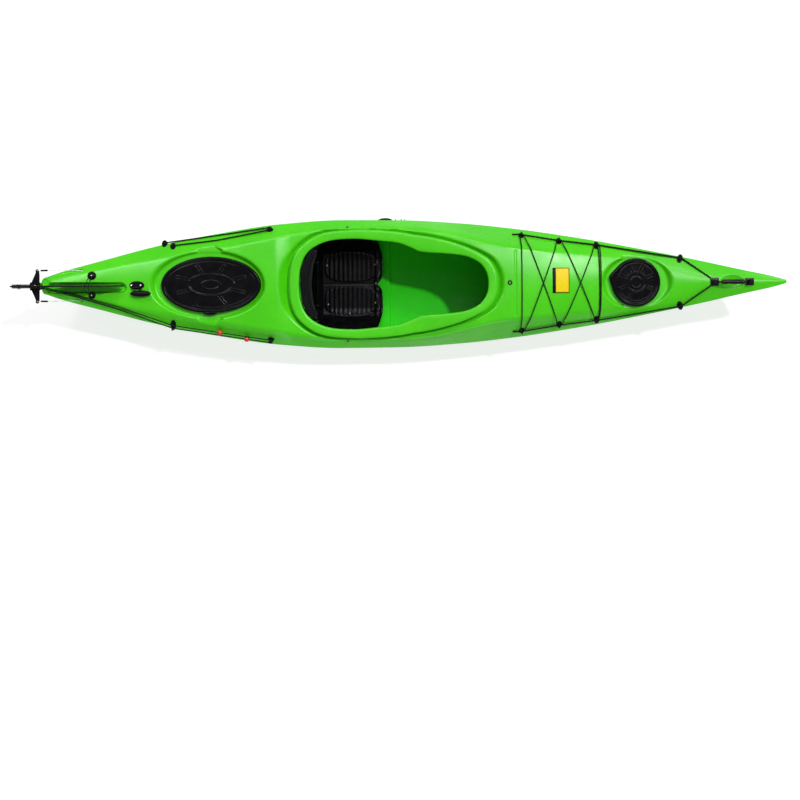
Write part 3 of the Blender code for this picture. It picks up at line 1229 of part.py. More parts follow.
def build_fore_lines():
    """Eight pad eyes, a grab line along each side and an elastic cord laced between three pairs."""
    frames = {}
    for side, y in SIDES:
        for k, (x, half) in enumerate(PAD_EYES):
            after = PAD_EYES[k + 1] if k + 1 < len(PAD_EYES) else (HANDLE_X[0], 0.03)
            heading = Vector((after[0] - x, y * (after[1] - half)))
            if k:
                before = PAD_EYES[k - 1]
                heading = heading.normalized() + Vector((x - before[0], y * (half - before[1]))).normalized()
            frames[side, k] = pad_eye(f"pad_eye_{side}_{k + 1}", x, y * half, heading.normalized())
        clearance = LINE_RADIUS + 0.0006
        first = frames[side, 0]
        tail = over_deck(*(first @ Vector((-0.045, 0.0, 0.0))).xy, clearance)
        route = [tail, first @ Vector((-0.013, 0.0, LINE_IN_EYE))]
        for k in range(len(PAD_EYES)):
            leave = frames[side, k] @ Vector((0.013, 0.0, LINE_IN_EYE))
            route.append(leave)
            if k + 1 < len(PAD_EYES):
                arrive = frames[side, k + 1] @ Vector((-0.013, 0.0, LINE_IN_EYE))
            else:
                arrive = over_deck(1.488, y * 0.021, clearance)
            route += taut(leave, arrive, clearance)[1:]
        tube(f"grab_line_{side}", route, LINE_RADIUS, CORD)
    low = LACING_RADIUS + 0.003

    def at(side, k, along, inward=0.0):
        sign = 1 if side == "port" else -1
        return frames[side, k] @ Vector((along, -sign * inward, LACING_IN_EYE))

    rise = 2 * LACING_RADIUS + 0.001
    over = 0.026
    turn = 0.0085
    out = 0.0155
    points = []
    legs = (
        (("starboard", 2, out), ("port", 2, out), 0), (("port", 2, -turn), ("starboard", 1, turn), 0),
        (("starboard", 1, -turn), ("port", 0, turn), 0), (("port", 0, -turn), ("starboard", 0, -turn), 0),
        (("starboard", 0, turn), ("port", 1, -turn), 1), (("port", 1, turn), ("starboard", 2, -turn), 1),
        (("starboard", 2, turn), ("port", 2, turn), 2),
    )
    for start, end, kind in legs:
        a = at(*start) if start[2] != out else over_deck(*at(*start, inward=0.024).xy, low)
        b = at(*end) if kind != 2 else over_deck(*at(*end, inward=0.024).xy, low)
        length = (b.xy - a.xy).length
        middle = crossing_share(a, b, points) * length if kind == 1 else 0.0
        bumps = ((middle, over, rise),) if kind == 1 else ()
        points.append(taut(a, b, low, bumps))
    tube("lacing_cord", [p for part in points for p in part], LACING_RADIUS, CORD)


def crossing_share(a, b, earlier):
    """How far along the way from a to b a cord crosses the nearest diagonal laid before it."""
    best = 0.5
    for path in earlier[1:3]:
        c, d = path[0].xy, path[-1].xy
        r, s = b.xy - a.xy, d - c
        cross = r.x * s.y - r.y * s.x
        if abs(cross) < 1e-9:
            continue
        t = ((c - a.xy).x * s.y - (c - a.xy).y * s.x) / cross
        u = ((c - a.xy).x * r.y - (c - a.xy).y * r.x) / cross
        if 0.05 < t < 0.95 and 0.05 < u < 0.95:
            best = t
    return best


def build_hold_down():
    """Two domes beside the blade and the elastic cord that goes over it and back."""
    tops = {}
    for name, x, y, radius in (("port", -1.613, 0.05, 0.0215), ("starboard", -1.612, -0.048, 0.0175)):
        made, frame = dome(f"hold_down_{name}", x, y, radius, 0.0105, BLACK)
        for k, along in enumerate((-0.0065, 0.0065)):
            at_top, below = frame @ Vector((along, 0.0, 0.02)), frame @ Vector((along, 0.0, 0.002))
            drill(made, f"hold_bore_{name}_{k}", at_top, below, LINE_RADIUS + 0.0005)
            tops[name, k] = (frame @ Vector((along, 0.0, 0.0035)), frame @ Vector((along, 0.0, 0.0125)))
        if name == "starboard":
            inside = tops[name, 0][0], tops[name, 1][0]
            drill(made, "hold_turn_bore", inside[0].lerp(inside[1], -0.3), inside[0].lerp(inside[1], 1.3),
                  LINE_RADIUS + 0.0007)
    over_z = 0.3865 * DEEP + LINE_RADIUS

    def leg(k, lead):
        x = tops["port", k][1].x + lead
        return [*tops["port", k], Vector((x, BLADE_Y + 0.0105, over_z - 0.006)), Vector((x, BLADE_Y + 0.004, over_z)),
                Vector((x, BLADE_Y - 0.004, over_z)), Vector((x, BLADE_Y - 0.0105, over_z - 0.006)),
                *reversed(tops["starboard", k])]
    tube("hold_down_cord", [*leg(0, 0.0), *reversed(leg(1, 0.004))], LINE_RADIUS, CORD)


def build_toggle():
    """The stern carrying toggle: a screwed fitting, a loop of cord and a grip that rests on the deck."""
    x0, x1 = -1.425, -1.35
    middle = (x0 + x1) / 2
    frame = deck_frame(middle, 0.0, (1.0, 0.0))
    plate = foot_plate("toggle_fitting", 0.0375, 0.0215, FOOT_THICK, BLACK, frame, 24)
    bar_ends = (frame @ Vector((-0.0195, -0.0115, 0.0062)), frame @ Vector((0.0195, -0.0115, 0.0062)))
    bar = rod("toggle_bar", *bar_ends, 0.0058, BLACK)
    join(plate, as_cutter(bar))
    start, end = frame @ Vector((-0.03, -0.0115, 0.0062)), frame @ Vector((0.03, -0.0115, 0.0062))
    drill(plate, "toggle_bore", start, end, LACING_RADIUS + 0.0009)
    for k, at in enumerate((-0.0225, 0.0225)):
        foot, top = frame @ Vector((at, 0.006, 0.002)), frame @ Vector((at, 0.006, 0.0062))
        screw = rod(f"toggle_screw_{k}", foot, top, 0.005, STEEL, 14, 0.004)
        join(plate, as_cutter(screw))
    centre = frame @ Vector((0.021, -0.041, 0.0135))
    levels = []
    for share in (-1.0, -0.8, -0.4, 0.0, 0.4, 0.8, 1.0):
        fit = max(math.sqrt(1 - share**2), 0.3)
        levels.append((oval(0.053 * (0.55 + 0.45 * fit), 0.0165 * fit, 16), 0.0085 * share))
    grip = local_loft("toggle_grip", levels, BLACK, Matrix.Translation(centre) @ frame.to_3x3().to_4x4())
    hold = [frame @ Vector(p) for p in (
        (-0.004, -0.041, 0.0135), (-0.006, -0.0215, 0.0135), (-0.02, -0.0175, 0.0105),
        (-0.0275, -0.0135, 0.0078), (-0.023, -0.0115, 0.0062), (0.023, -0.0115, 0.0062),
        (0.0275, -0.0135, 0.0075), (0.024, -0.0175, 0.0105),
        (0.016, -0.0215, 0.0135), (0.014, -0.041, 0.0135))]
    loop = tube("toggle_loop", hold, LACING_RADIUS, CORD)
    for k, (a, b) in enumerate(((hold[0], hold[1]), (hold[-1], hold[-2]))):
        start, end = a - (b - a).normalized() * 0.001, b + (b - a) * 1.5
        drill(grip, f"grip_bore_{k}", start, end, LACING_RADIUS + 0.0006)
    print(f"toggle hinge {tuple(round(v, 4) for v in start.lerp(end, 0.5))} "
          f"along {tuple(round(v, 4) for v in (end - start).normalized())}")


def build_bow_handle():
    """The bow carrying handle: a bar that swings between two eyes screwed to the deck."""
    ends = []
    for name, x in (("aft", HANDLE_X[0]), ("fore", HANDLE_X[1])):
        frame = deck_frame(x, 0.0, (1.0, 0.0))
        half_width = 0.0115 if name == "fore" else 0.0165
        tab = foot_plate(f"handle_tab_{name}", 0.0195, half_width, FOOT_THICK, BLACK, frame, 20)
        lug_top = (0.007, 0.0075, HANDLE_AXIS_UP + 0.008)
        lug = local_box(f"handle_lug_{name}", (-0.007, -0.0075, 0.001), lug_top, BLACK, frame)
        join(tab, as_cutter(lug))
        ends.append(frame @ Vector((0.0, 0.0, HANDLE_AXIS_UP)))
    aft, fore = ends
    along = (fore - aft).normalized()
    for name in ("aft", "fore"):
        tab = bpy.data.objects[f"handle_tab_{name}"]
        drill(tab, f"handle_bore_{name}", aft - along * 0.03, fore + along * 0.03, 0.0045)
    length = (fore - aft).length
    shape = ((-0.005, 0.0), (0.0105, 0.0), (0.0135, 0.0025), (0.019, 0.008), (0.032, 0.0135), (0.055, 0.0165),
             (length / 2, 0.018))
    arch = [aft + along * t + Vector((0, 0, rise)) for t, rise in shape]
    arch += [aft + along * (length - t) + Vector((0, 0, rise)) for t, rise in reversed(shape[:-1])]
    tube("bow_handle", arch, 0.004, BLACK, 3)
    print(f"handle hinge {tuple(round(v, 4) for v in aft)} along {tuple(round(v, 4) for v in along)}")


def build_side_fitting():
    """A moulded clip body on the port side below the sheer, and the plug on the fore deck's crest."""
    bm = bmesh.new()
    bmesh.ops.create_uvsphere(bm, u_segments=20, v_segments=10, radius=1.0)
    bmesh.ops.scale(bm, vec=(0.0385, 0.014, 0.0125), verts=bm.verts)
    bmesh.ops.translate(bm, vec=(-0.14, side_half(-0.14, 0.178) + 0.0005, 0.178), verts=bm.verts)
    cut(add("side_fitting", mesh_of(bm, "side_fitting"), BLACK), SKIN)
    dome("deck_plug", 0.483, 0.003, 0.012, 0.0045, BLACK)


build_lift_line()
build_park_cord()
build_fore_lines()
build_hold_down()
build_toggle()
build_bow_handle()
build_side_fitting()
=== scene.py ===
"""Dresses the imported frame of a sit-in touring kayak: skins, cords, soft goods, finishes, light and camera."""

import json
import logging
import math
from dataclasses import dataclass
from enum import Enum

import bmesh
import bpy
import numpy as np
from mathutils import Matrix, Vector


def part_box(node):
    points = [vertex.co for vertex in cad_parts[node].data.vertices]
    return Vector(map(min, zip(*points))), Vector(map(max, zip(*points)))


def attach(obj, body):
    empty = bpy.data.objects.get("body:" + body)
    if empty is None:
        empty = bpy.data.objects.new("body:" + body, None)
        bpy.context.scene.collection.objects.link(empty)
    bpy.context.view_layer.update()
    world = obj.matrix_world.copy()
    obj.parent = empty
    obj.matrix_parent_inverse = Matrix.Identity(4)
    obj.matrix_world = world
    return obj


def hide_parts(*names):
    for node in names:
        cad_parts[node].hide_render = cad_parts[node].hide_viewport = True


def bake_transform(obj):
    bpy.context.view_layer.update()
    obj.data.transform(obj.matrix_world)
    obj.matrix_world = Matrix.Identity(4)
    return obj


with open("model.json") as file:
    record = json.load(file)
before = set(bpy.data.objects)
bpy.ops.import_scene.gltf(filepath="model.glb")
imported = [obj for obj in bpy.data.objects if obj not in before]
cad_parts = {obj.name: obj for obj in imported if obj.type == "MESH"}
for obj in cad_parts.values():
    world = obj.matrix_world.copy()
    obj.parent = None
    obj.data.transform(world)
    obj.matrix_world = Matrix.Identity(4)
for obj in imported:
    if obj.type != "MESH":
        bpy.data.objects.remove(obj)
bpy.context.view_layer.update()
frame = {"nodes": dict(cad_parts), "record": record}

Array = np.ndarray
Point = tuple[float, float, float]
Pair = tuple[float, float]
Four = tuple[float, float, float, float]
Table = tuple[Pair, ...]
Socket = bpy.types.NodeSocket
log = logging.getLogger("kayak")

RECORD = frame["record"]
BODY_OF = {node: body for body, nodes in RECORD["behaviour"]["bodies"].items() for node in nodes}


# Finishes


class Slot(Enum):
    """The record's material slots."""

    HULL = "hull"
    COVER = "hatch_cover"
    FOAM = "foam"
    BLACK = "black_plastic"
    PADDING = "padding"
    STEEL = "steel"
    RAIL = "rail"
    RUDDER = "rudder_plastic"
    WIRE = "steel_wire"
    CORD = "cord"
    RED = "red_plastic"
    RUBBER = "rubber"


class Graph:
    """A material's node tree with short calls to add and join nodes."""

    def __init__(self, name: str) -> None:
        """Starts a material with one shader.

        Args:
            name: the material's name.
        """
        self.material = bpy.data.materials.new(name)
        self.material.use_nodes = True
        self.tree = self.material.node_tree
        self.shader = self.tree.nodes["Principled BSDF"]

    def add(self, kind: str, inputs: dict | None = None, **options: object) -> bpy.types.Node:
        """Adds a node.

        Args:
            kind: the node's type, without its ShaderNode prefix.
            inputs: values or sockets for its inputs.
            options: the node's own properties.

        Returns:
            The node.
        """
        node = self.tree.nodes.new("ShaderNode" + kind)
        for key, value in options.items():
            setattr(node, key, value)
        for key, value in (inputs or {}).items():
            if isinstance(value, Socket):
                self.tree.links.new(value, node.inputs[key])
            else:
                node.inputs[key].default_value = value
        return node

    def place(self, source: str = "Object") -> Socket:
        """The coordinates that a pattern is laid on.

        Args:
            source: Object or UV.

        Returns:
            The coordinate socket.
        """
        return self.add("TexCoord").outputs[source]

    def noise(self, scale: float, detail: float = 3.0, vector: Socket | None = None) -> Socket:
        """A noise pattern.

        Args:
            scale: how many cells a metre holds.
            detail: the number of finer layers.
            vector: the coordinates, Object ones if none are given.

        Returns:
            The noise's value.
        """
        node = self.add("TexNoise", {"Vector": vector or self.place(), "Scale": scale, "Detail": detail})
        return node.outputs["Fac"]

    def stretched(self, scale: Point, source: str = "Object") -> Socket:
        """Coordinates that are drawn out along some axes.

        Args:
            scale: the factor on each axis.
            source: Object or UV.

        Returns:
            The coordinate socket.
        """
        return self.add("Mapping", {"Vector": self.place(source), "Scale": scale}).outputs[0]

    def spread(self, value: Socket, low: float, high: float, start: float = 0.3, end: float = 0.7) -> Socket:
        """Maps a pattern's range onto another range.

        Args:
            value: the pattern.
            low: what its start becomes.
            high: what its end becomes.
            start: the pattern's value that becomes low.
            end: the pattern's value that becomes high.

        Returns:
            The mapped value.
        """
        inputs = {"Value": value, "From Min": start, "From Max": end, "To Min": low, "To Max": high}
        return self.add("MapRange", inputs).outputs[0]

    def math(self, operation: str, a: object, b: object = 0.0) -> Socket:
        """One step of arithmetic.

        Args:
            operation: the Math node's operation.
            a: its first value or socket.
            b: its second value or socket.

        Returns:
            The result.
        """
        return self.add("Math", {0: a, 1: b}, operation=operation).outputs[0]

    def tint(self, share: Socket, first: Point, second: Point) -> None:
        """Colours the surface between two colours.

        Args:
            share: the pattern that chooses between them.
            first: the colour at 0.
            second: the colour at 1.
        """
        mix = self.add("Mix", {0: share, 6: (*first, 1.0), 7: (*second, 1.0)}, data_type="RGBA")
        self.tree.links.new(mix.outputs[2], self.shader.inputs["Base Color"])

    def rough(self, value: Socket) -> None:
        """Joins a pattern to the roughness."""
        self.tree.links.new(value, self.shader.inputs["Roughness"])

    def even(self, name: str, value: object) -> None:
        """Sets one of the shader's sockets to a constant."""
        self.shader.inputs[name].default_value = value

    def bump(self, height: Socket, strength: float, distance: float) -> None:
        """Raises the surface by a pattern.

        Args:
            height: the pattern.
            strength: how strongly it shows.
            distance: how high it stands, in metres.
        """
        over = self.shader.inputs["Normal"]
        inputs = {"Height": height, "Strength": strength, "Distance": distance}
        if over.is_linked:
            inputs["Normal"] = over.links[0].from_socket
        self.tree.links.new(self.add("Bump", inputs).outputs[0], over)


@dataclass(frozen=True)
class Polyethylene:
    """Rotomoulded green polyethylene: even colour, a soft gloss and a faint orange peel."""

    name: str = "green_polyethylene"
    light: Point = (0.076, 0.63, 0.006)
    deep: Point = (0.058, 0.56, 0.004)
    gloss: Pair = (0.26, 0.31)
    specular: float = 0.18

    def make(self) -> bpy.types.Material:
        """Builds the material."""
        graph = Graph(self.name)
        graph.tint(graph.spread(graph.noise(5.0, 4.0), 0.0, 1.0), self.deep, self.light)
        graph.rough(graph.spread(graph.noise(14.0, 3.0), *self.gloss))
        graph.even("Specular IOR Level", self.specular)
        graph.bump(graph.noise(9.0, 2.0), 0.04, 0.004)
        graph.bump(graph.noise(420.0, 2.0), 0.006, 0.0003)
        scuffs = graph.noise(40.0, 5.0, graph.stretched((0.12, 1.0, 1.6)))
        graph.bump(graph.spread(scuffs, 0.0, 1.0, 0.62, 0.72), 0.008, 0.0003)
        return graph.material


@dataclass(frozen=True)
class Moulded:
    """Black moulded plastic or rubber with a fine grain."""

    name: str
    colour: Point = (0.0016, 0.0016, 0.0022)
    worn: Point = (0.0045, 0.0045, 0.006)
    gloss: Pair = (0.3, 0.42)
    grain: float = 900.0
    strength: float = 0.2
    specular: float = 0.045

    def make(self) -> bpy.types.Material:
        """Builds the material."""
        graph = Graph(self.name)
        graph.tint(graph.spread(graph.noise(30.0, 5.0), 0.0, 1.0, 0.4, 0.75), self.colour, self.worn)
        graph.rough(graph.spread(graph.noise(90.0, 4.0), *self.gloss))
        graph.bump(graph.noise(self.grain, 2.0), self.strength, 0.0003)
        graph.even("Specular IOR Level", self.specular)
        return graph.material


@dataclass(frozen=True)
class Metal:
    """Stainless steel, brushed or drawn into strands."""

    name: str
    colour: Point = (0.56, 0.56, 0.57)
    dark: Point = (0.4, 0.4, 0.41)
    gloss: Pair = (0.22, 0.36)
    stretch: Point = (1.0, 1.0, 12.0)

    def make(self) -> bpy.types.Material:
        """Builds the material."""
        graph = Graph(self.name)
        graph.even("Metallic", 1.0)
        lines = graph.noise(260.0, 4.0, graph.stretched(self.stretch))
        graph.tint(graph.spread(lines, 0.0, 1.0), self.dark, self.colour)
        graph.rough(graph.spread(lines, *self.gloss))
        graph.bump(lines, 0.1, 0.0002)
        return graph.material


@dataclass(frozen=True)
class Foam:
    """Closed-cell foam."""

    name: str = "closed_cell_foam"
    colour: Point = (0.02, 0.02, 0.022)
    pale: Point = (0.035, 0.035, 0.038)

    def make(self) -> bpy.types.Material:
        """Builds the material."""
        graph = Graph(self.name)
        cells = graph.add("TexVoronoi", {"Vector": graph.place(), "Scale": 700.0}).outputs["Distance"]
        graph.tint(graph.spread(graph.noise(60.0), 0.0, 1.0), self.colour, self.pale)
        graph.even("Roughness", 0.92)
        graph.bump(cells, 0.5, 0.0006)
        return graph.material


@dataclass(frozen=True)
class Cloth:
    """Black woven nylon over foam."""

    name: str = "black_nylon"
    colour: Point = (0.002, 0.002, 0.003)
    pale: Point = (0.008, 0.008, 0.01)
    threads: float = 520.0

    def make(self) -> bpy.types.Material:
        """Builds the material."""
        graph = Graph(self.name)
        across = graph.add("TexWave", {"Vector": graph.place(), "Scale": self.threads / 6}, bands_direction="Y")
        along = graph.add("TexWave", {"Vector": graph.place(), "Scale": self.threads / 6}, bands_direction="Z")
        weave = graph.math("MULTIPLY", across.outputs["Fac"], along.outputs["Fac"])
        graph.tint(graph.spread(weave, 0.0, 1.0, 0.0, 1.0), self.colour, self.pale)
        for name, value in (
            ("Roughness", 0.85), ("Specular IOR Level", 0.06), ("Sheen Weight", 0.04), ("Sheen Roughness", 0.4),
        ):
            graph.even(name, value)
        graph.bump(weave, 0.35, 0.0005)
        graph.bump(graph.noise(28.0, 3.0), 0.3, 0.002)
        return graph.material


@dataclass(frozen=True)
class Braid:
    """A braided cord: crossing threads laid on the cord's own length and girth."""

    name: str = "braided_cord"
    colour: Point = (0.003, 0.004, 0.003)
    fleck: Point = (0.02, 0.05, 0.016)
    pitch: float = 170.0
    strands: float = 4.0

    def make(self) -> bpy.types.Material:
        """Builds the material."""
        graph = Graph(self.name)
        parts = graph.add("SeparateXYZ", {0: graph.place("UV")})
        around = graph.math("MULTIPLY", parts.outputs["X"], self.strands)
        along = graph.math("MULTIPLY", parts.outputs["Y"], self.pitch)
        waves = []
        for operation in ("ADD", "SUBTRACT"):
            turn = graph.math("MULTIPLY", graph.math(operation, around, along), 2 * math.pi)
            waves.append(graph.math("ABSOLUTE", graph.math("SINE", turn)))
        weave = graph.math("MULTIPLY", *waves)
        fleck = graph.spread(graph.math("MULTIPLY", weave, graph.noise(300.0, 1.0)), 0.0, 1.0, 0.3, 0.7)
        graph.tint(fleck, self.colour, self.fleck)
        graph.even("Roughness", 0.6)
        graph.even("Specular IOR Level", 0.08)
        graph.bump(weave, 0.6, 0.0004)
        return graph.material


@dataclass(frozen=True)
class Gloss:
    """Coloured glossy plastic or enamel."""

    name: str
    colour: Point
    deep: Point
    gloss: Pair = (0.16, 0.26)
    specular: float = 0.3

    def make(self) -> bpy.types.Material:
        """Builds the material."""
        graph = Graph(self.name)
        graph.even("Specular IOR Level", self.specular)
        graph.tint(graph.spread(graph.noise(120.0), 0.0, 1.0), self.deep, self.colour)
        graph.rough(graph.spread(graph.noise(220.0), *self.gloss))
        graph.bump(graph.noise(500.0), 0.05, 0.0002)
        return graph.material


@dataclass(frozen=True)
class Paint:
    """The studio floor: it lights nothing, keeps the shadow and shows white to the camera."""

    name: str = "studio_floor"
    diffuse: float = 0.42
    lift: float = 0.72

    def make(self) -> bpy.types.Material:
        """Builds the material."""
        graph = Graph(self.name)
        graph.tint(graph.noise(3.0), (self.diffuse,) * 3, (self.diffuse + 0.01,) * 3)
        graph.even("Roughness", 0.9)
        graph.even("Specular IOR Level", 0.1)
        path = graph.add("LightPath").outputs
        seen = graph.math("MAXIMUM", path["Is Camera Ray"], path["Is Glossy Ray"])
        seen = graph.math("MAXIMUM", seen, path["Is Transmission Ray"])
        strength = graph.math("MULTIPLY", seen, self.lift)
        graph.even("Emission Color", (1.0, 1.0, 1.0, 1.0))
        graph.tree.links.new(strength, graph.shader.inputs["Emission Strength"])
        return graph.material


class Wardrobe:
    """Every finish of the kayak, made once."""

    def __init__(self) -> None:
        """Builds the materials, each under its slot."""
        self.slots: dict[Slot, bpy.types.Material] = {
            Slot.HULL: Polyethylene().make(),
            Slot.COVER: Moulded("hatch_cover_rubber", gloss=(0.12, 0.18), strength=0.02, specular=0.05).make(),
            Slot.FOAM: Foam().make(),
            Slot.BLACK: Moulded("black_moulding").make(),
            Slot.PADDING: Cloth().make(),
            Slot.STEEL: Metal("stainless_steel").make(),
            Slot.RAIL: Moulded("rail_moulding", gloss=(0.4, 0.55)).make(),
            Slot.RUDDER: Moulded("rudder_moulding", gloss=(0.26, 0.38), strength=0.1, specular=0.06).make(),
            Slot.WIRE: Metal("stranded_wire", (0.42, 0.42, 0.43), (0.2, 0.2, 0.21), stretch=(3.0, 3.0, 3.0)).make(),
            Slot.CORD: Braid().make(),
            Slot.RED: Gloss("red_ball", (0.62, 0.03, 0.016), (0.44, 0.016, 0.01)).make(),
            Slot.RUBBER: Moulded("soft_rubber", gloss=(0.16, 0.26), grain=600.0, strength=0.08, specular=0.1).make(),
        }
        self.plate = Gloss("plate_yellow", (0.87, 0.66, 0.003), (0.82, 0.6, 0.002), (0.34, 0.46), 0.1).make()
        self.seat = Moulded("seat_moulding", gloss=(0.24, 0.34), grain=700.0, strength=0.1, specular=0.05).make()
        self.screw = Moulded("dull_screw", (0.05, 0.05, 0.055), (0.11, 0.11, 0.12), (0.2, 0.3), specular=0.5).make()
        # Dark steel for the back band's rod; on the seat bolts it is painted shade of the recess they sit in.
        self.rod = Metal("dark_steel_and_bolt_shade", (0.05, 0.05, 0.052), (0.025, 0.025, 0.027), (0.5, 0.62)).make()
        # The inside green is a deeper, less red copy of the hull's green: painted shade for the inside of the hull.
        self.inside = Polyethylene("green_inside_painted_shade", (0.026, 0.58, 0.01), (0.02, 0.53, 0.008), (0.34, 0.44), 0.02).make()


# Making meshes


def smooth_min(a: Array, b: Array, reach: float) -> Array:
    """The lower of two surfaces, with a fillet where they meet.

    Args:
        a: one surface's heights.
        b: the other's.
        reach: the height over which they blend.

    Returns:
        The blended heights.
    """
    share = np.clip(0.5 + 0.5 * (b - a) / reach, 0.0, 1.0)
    return b * (1 - share) + a * share - reach * share * (1 - share)


def smooth_max(a: Array | float, b: Array, reach: float) -> Array:
    """The higher of two surfaces, with a fillet where they meet."""
    return -smooth_min(-np.asarray(a), -b, reach)


def smooth_step(value: Array) -> Array:
    """An S-shaped rise from 0 to 1."""
    value = np.clip(value, 0.0, 1.0)
    return value * value * (3 - 2 * value)


def bead(off: Array, height: float, width: float) -> Array:
    """A raised line with a round top.

    Args:
        off: how far each place is from the line's middle.
        height: how high it stands.
        width: the distance over which it falls away.

    Returns:
        The heights.
    """
    return height * np.exp(-((off / width) ** 2))


def lengths_along(points: Array) -> Array:
    """How far each point of a path lies from its start, measured along the path."""
    return np.concatenate([[0.0], np.cumsum(np.linalg.norm(np.diff(points, axis=0), axis=1))])


def relaxed(points: Array, rounds: int) -> Array:
    """A path whose inner points are drawn towards their neighbours.

    Args:
        points: the path, which is changed.
        rounds: how many times.

    Returns:
        The path.
    """
    for _ in range(rounds):
        points[1:-1] = points[1:-1] * 0.5 + (points[:-2] + points[2:]) * 0.25
    return points


def closed(loop: Array) -> Array:
    """A loop with its first point added again at its end."""
    return np.vstack([loop, loop[:1]])


def sheet_of(points: Array, uv: bool = False) -> bmesh.types.BMesh:
    """A grid whose corners are moved to the rows and columns of an array of places.

    Args:
        points: rows x columns x 3.
        uv: whether to lay a UV map with the column's share as U and the length along the rows as V.

    Returns:
        The mesh, with its doubled corners merged.
    """
    rows, columns = points.shape[:2]
    bm = bmesh.new()
    bmesh.ops.create_grid(bm, x_segments=columns - 1, y_segments=rows - 1, size=1.0)
    bm.verts.ensure_lookup_table()
    if uv:
        layer = bm.loops.layers.uv.new("length")
        run = lengths_along(points.mean(axis=1))
        for face in bm.faces:
            for loop in face.loops:
                row, column = divmod(loop.vert.index, columns)
                loop[layer].uv = (column / (columns - 1), run[row])
    for vert, place in zip(bm.verts, points.reshape(-1, 3)):
        vert.co = place
    bmesh.ops.remove_doubles(bm, verts=bm.verts, dist=2e-6)
    return bm


def block(size: Point, matrix: Matrix, edge: float, segments: int = 2) -> bmesh.types.BMesh:
    """A box with bevelled edges.

    Args:
        size: its length along each axis.
        matrix: turns it and puts it in its place.
        edge: the bevel's width.
        segments: the bevel's steps.

    Returns:
        The mesh.
    """
    bm = bmesh.new()
    bmesh.ops.create_cube(bm, size=1.0)
    bmesh.ops.scale(bm, vec=size, verts=bm.verts)
    bmesh.ops.bevel(bm, geom=bm.edges[:], offset=edge, segments=segments, profile=0.5, affect="EDGES", material=-1)
    bmesh.ops.transform(bm, matrix=matrix, verts=bm.verts)
    return bm


def face_up(bm: bmesh.types.BMesh) -> None:
    """Turns an open sheet over if most of its faces look down."""
    if sum(face.normal.z for face in bm.faces) < 0:
        bmesh.ops.reverse_faces(bm, faces=bm.faces)


def thicken(thing: bpy.types.Object, wall: float) -> None:
    """Gives an open sheet a wall below its face."""
    solid = thing.modifiers.new("wall", "SOLIDIFY")
    solid.thickness, solid.offset = wall, -1.0


def piece(
    name: str, bm: bmesh.types.BMesh, material: bpy.types.Material, body: str | None = "boat",
    replaces: tuple[str, ...] = (), crease: float = 40.0, outward: bool = True,
) -> bpy.types.Object:
    """Makes an object of a finished mesh, gives it a finish and lets it ride on a body.

    Args:
        name: the object's name.
        bm: its mesh, which is freed.
        material: its finish.
        body: the CAD body that it moves with, or None for a piece that rides on no body.
        replaces: the CAD nodes that it stands for.
        crease: edges sharper than this many degrees stay sharp.
        outward: whether to turn all faces outwards.

    Returns:
        The object.
    """
    if outward:
        bmesh.ops.recalc_face_normals(bm, faces=bm.faces)
    mesh = bpy.data.meshes.new(name)
    bm.to_mesh(mesh)
    bm.free()
    mesh.materials.append(material)
    mesh.shade_smooth()
    mesh.set_sharp_from_angle(angle=math.radians(crease))
    thing = bpy.data.objects.new(name, mesh)
    bpy.context.scene.collection.objects.link(thing)
    if body:
        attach(thing, body)
    if replaces:
        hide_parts(*replaces)
    log.info("%s: %d faces", name, len(mesh.polygons))
    return thing


def merged_copy(node: str, angle: float = 1.0) -> bmesh.types.BMesh:
    """A copy of a CAD node's mesh with its corners merged and its flat faces joined.

    Args:
        node: the CAD node's name.
        angle: faces that lie within this many degrees of each other are joined.

    Returns:
        The mesh.
    """
    bm = bmesh.new()
    bm.from_mesh(frame["nodes"][node].data)
    bmesh.ops.remove_doubles(bm, verts=bm.verts, dist=1e-5)
    if angle:
        bmesh.ops.dissolve_limit(bm, angle_limit=math.radians(angle), verts=bm.verts, edges=bm.edges)
    return bm


# Lines of the hull


@dataclass(frozen=True)
class Line:
    """A monotone cubic through a table of points."""

    points: Table

    def at(self, where: Array) -> Array:
        """The line's height over each place.

        Args:
            where: the places along the table.

        Returns:
            The heights.
        """
        xs, ys = np.array(self.points).T
        steps = np.diff(xs)
        slopes = np.diff(ys) / steps
        tangents = np.concatenate([slopes[:1], np.zeros(len(slopes) - 1), slopes[-1:]])
        before, after = slopes[:-1], slopes[1:]
        w_before, w_after = 2 * steps[1:] + steps[:-1], steps[1:] + 2 * steps[:-1]
        same = before * after > 0
        mean = (w_before + w_after)[same] / (w_before[same] / before[same] + w_after[same] / after[same])
        tangents[1:-1][same] = mean
        x = np.clip(where, xs[0], xs[-1])
        i = np.clip(np.searchsorted(xs, x, side="right") - 1, 0, len(steps) - 1)
        t = (x - xs[i]) / steps[i]
        start = (1 + 2 * t) * (1 - t) ** 2 * ys[i] + t * (1 - t) ** 2 * steps[i] * tangents[i]
        return start + t * t * (3 - 2 * t) * ys[i + 1] + t * t * (t - 1) * steps[i] * tangents[i + 1]


@dataclass(frozen=True)
class Section:
    """The corners of the port half of the hull's section at each of many stations."""

    keel_z: Array
    flat: Array
    bilge: Array
    bilge_z: Array
    chine: Array
    chine_z: Array
    bulge: Array
    sheer: Array
    sheer_z: Array
    knuckle: Array
    knuckle_z: Array
    ridge_z: Array


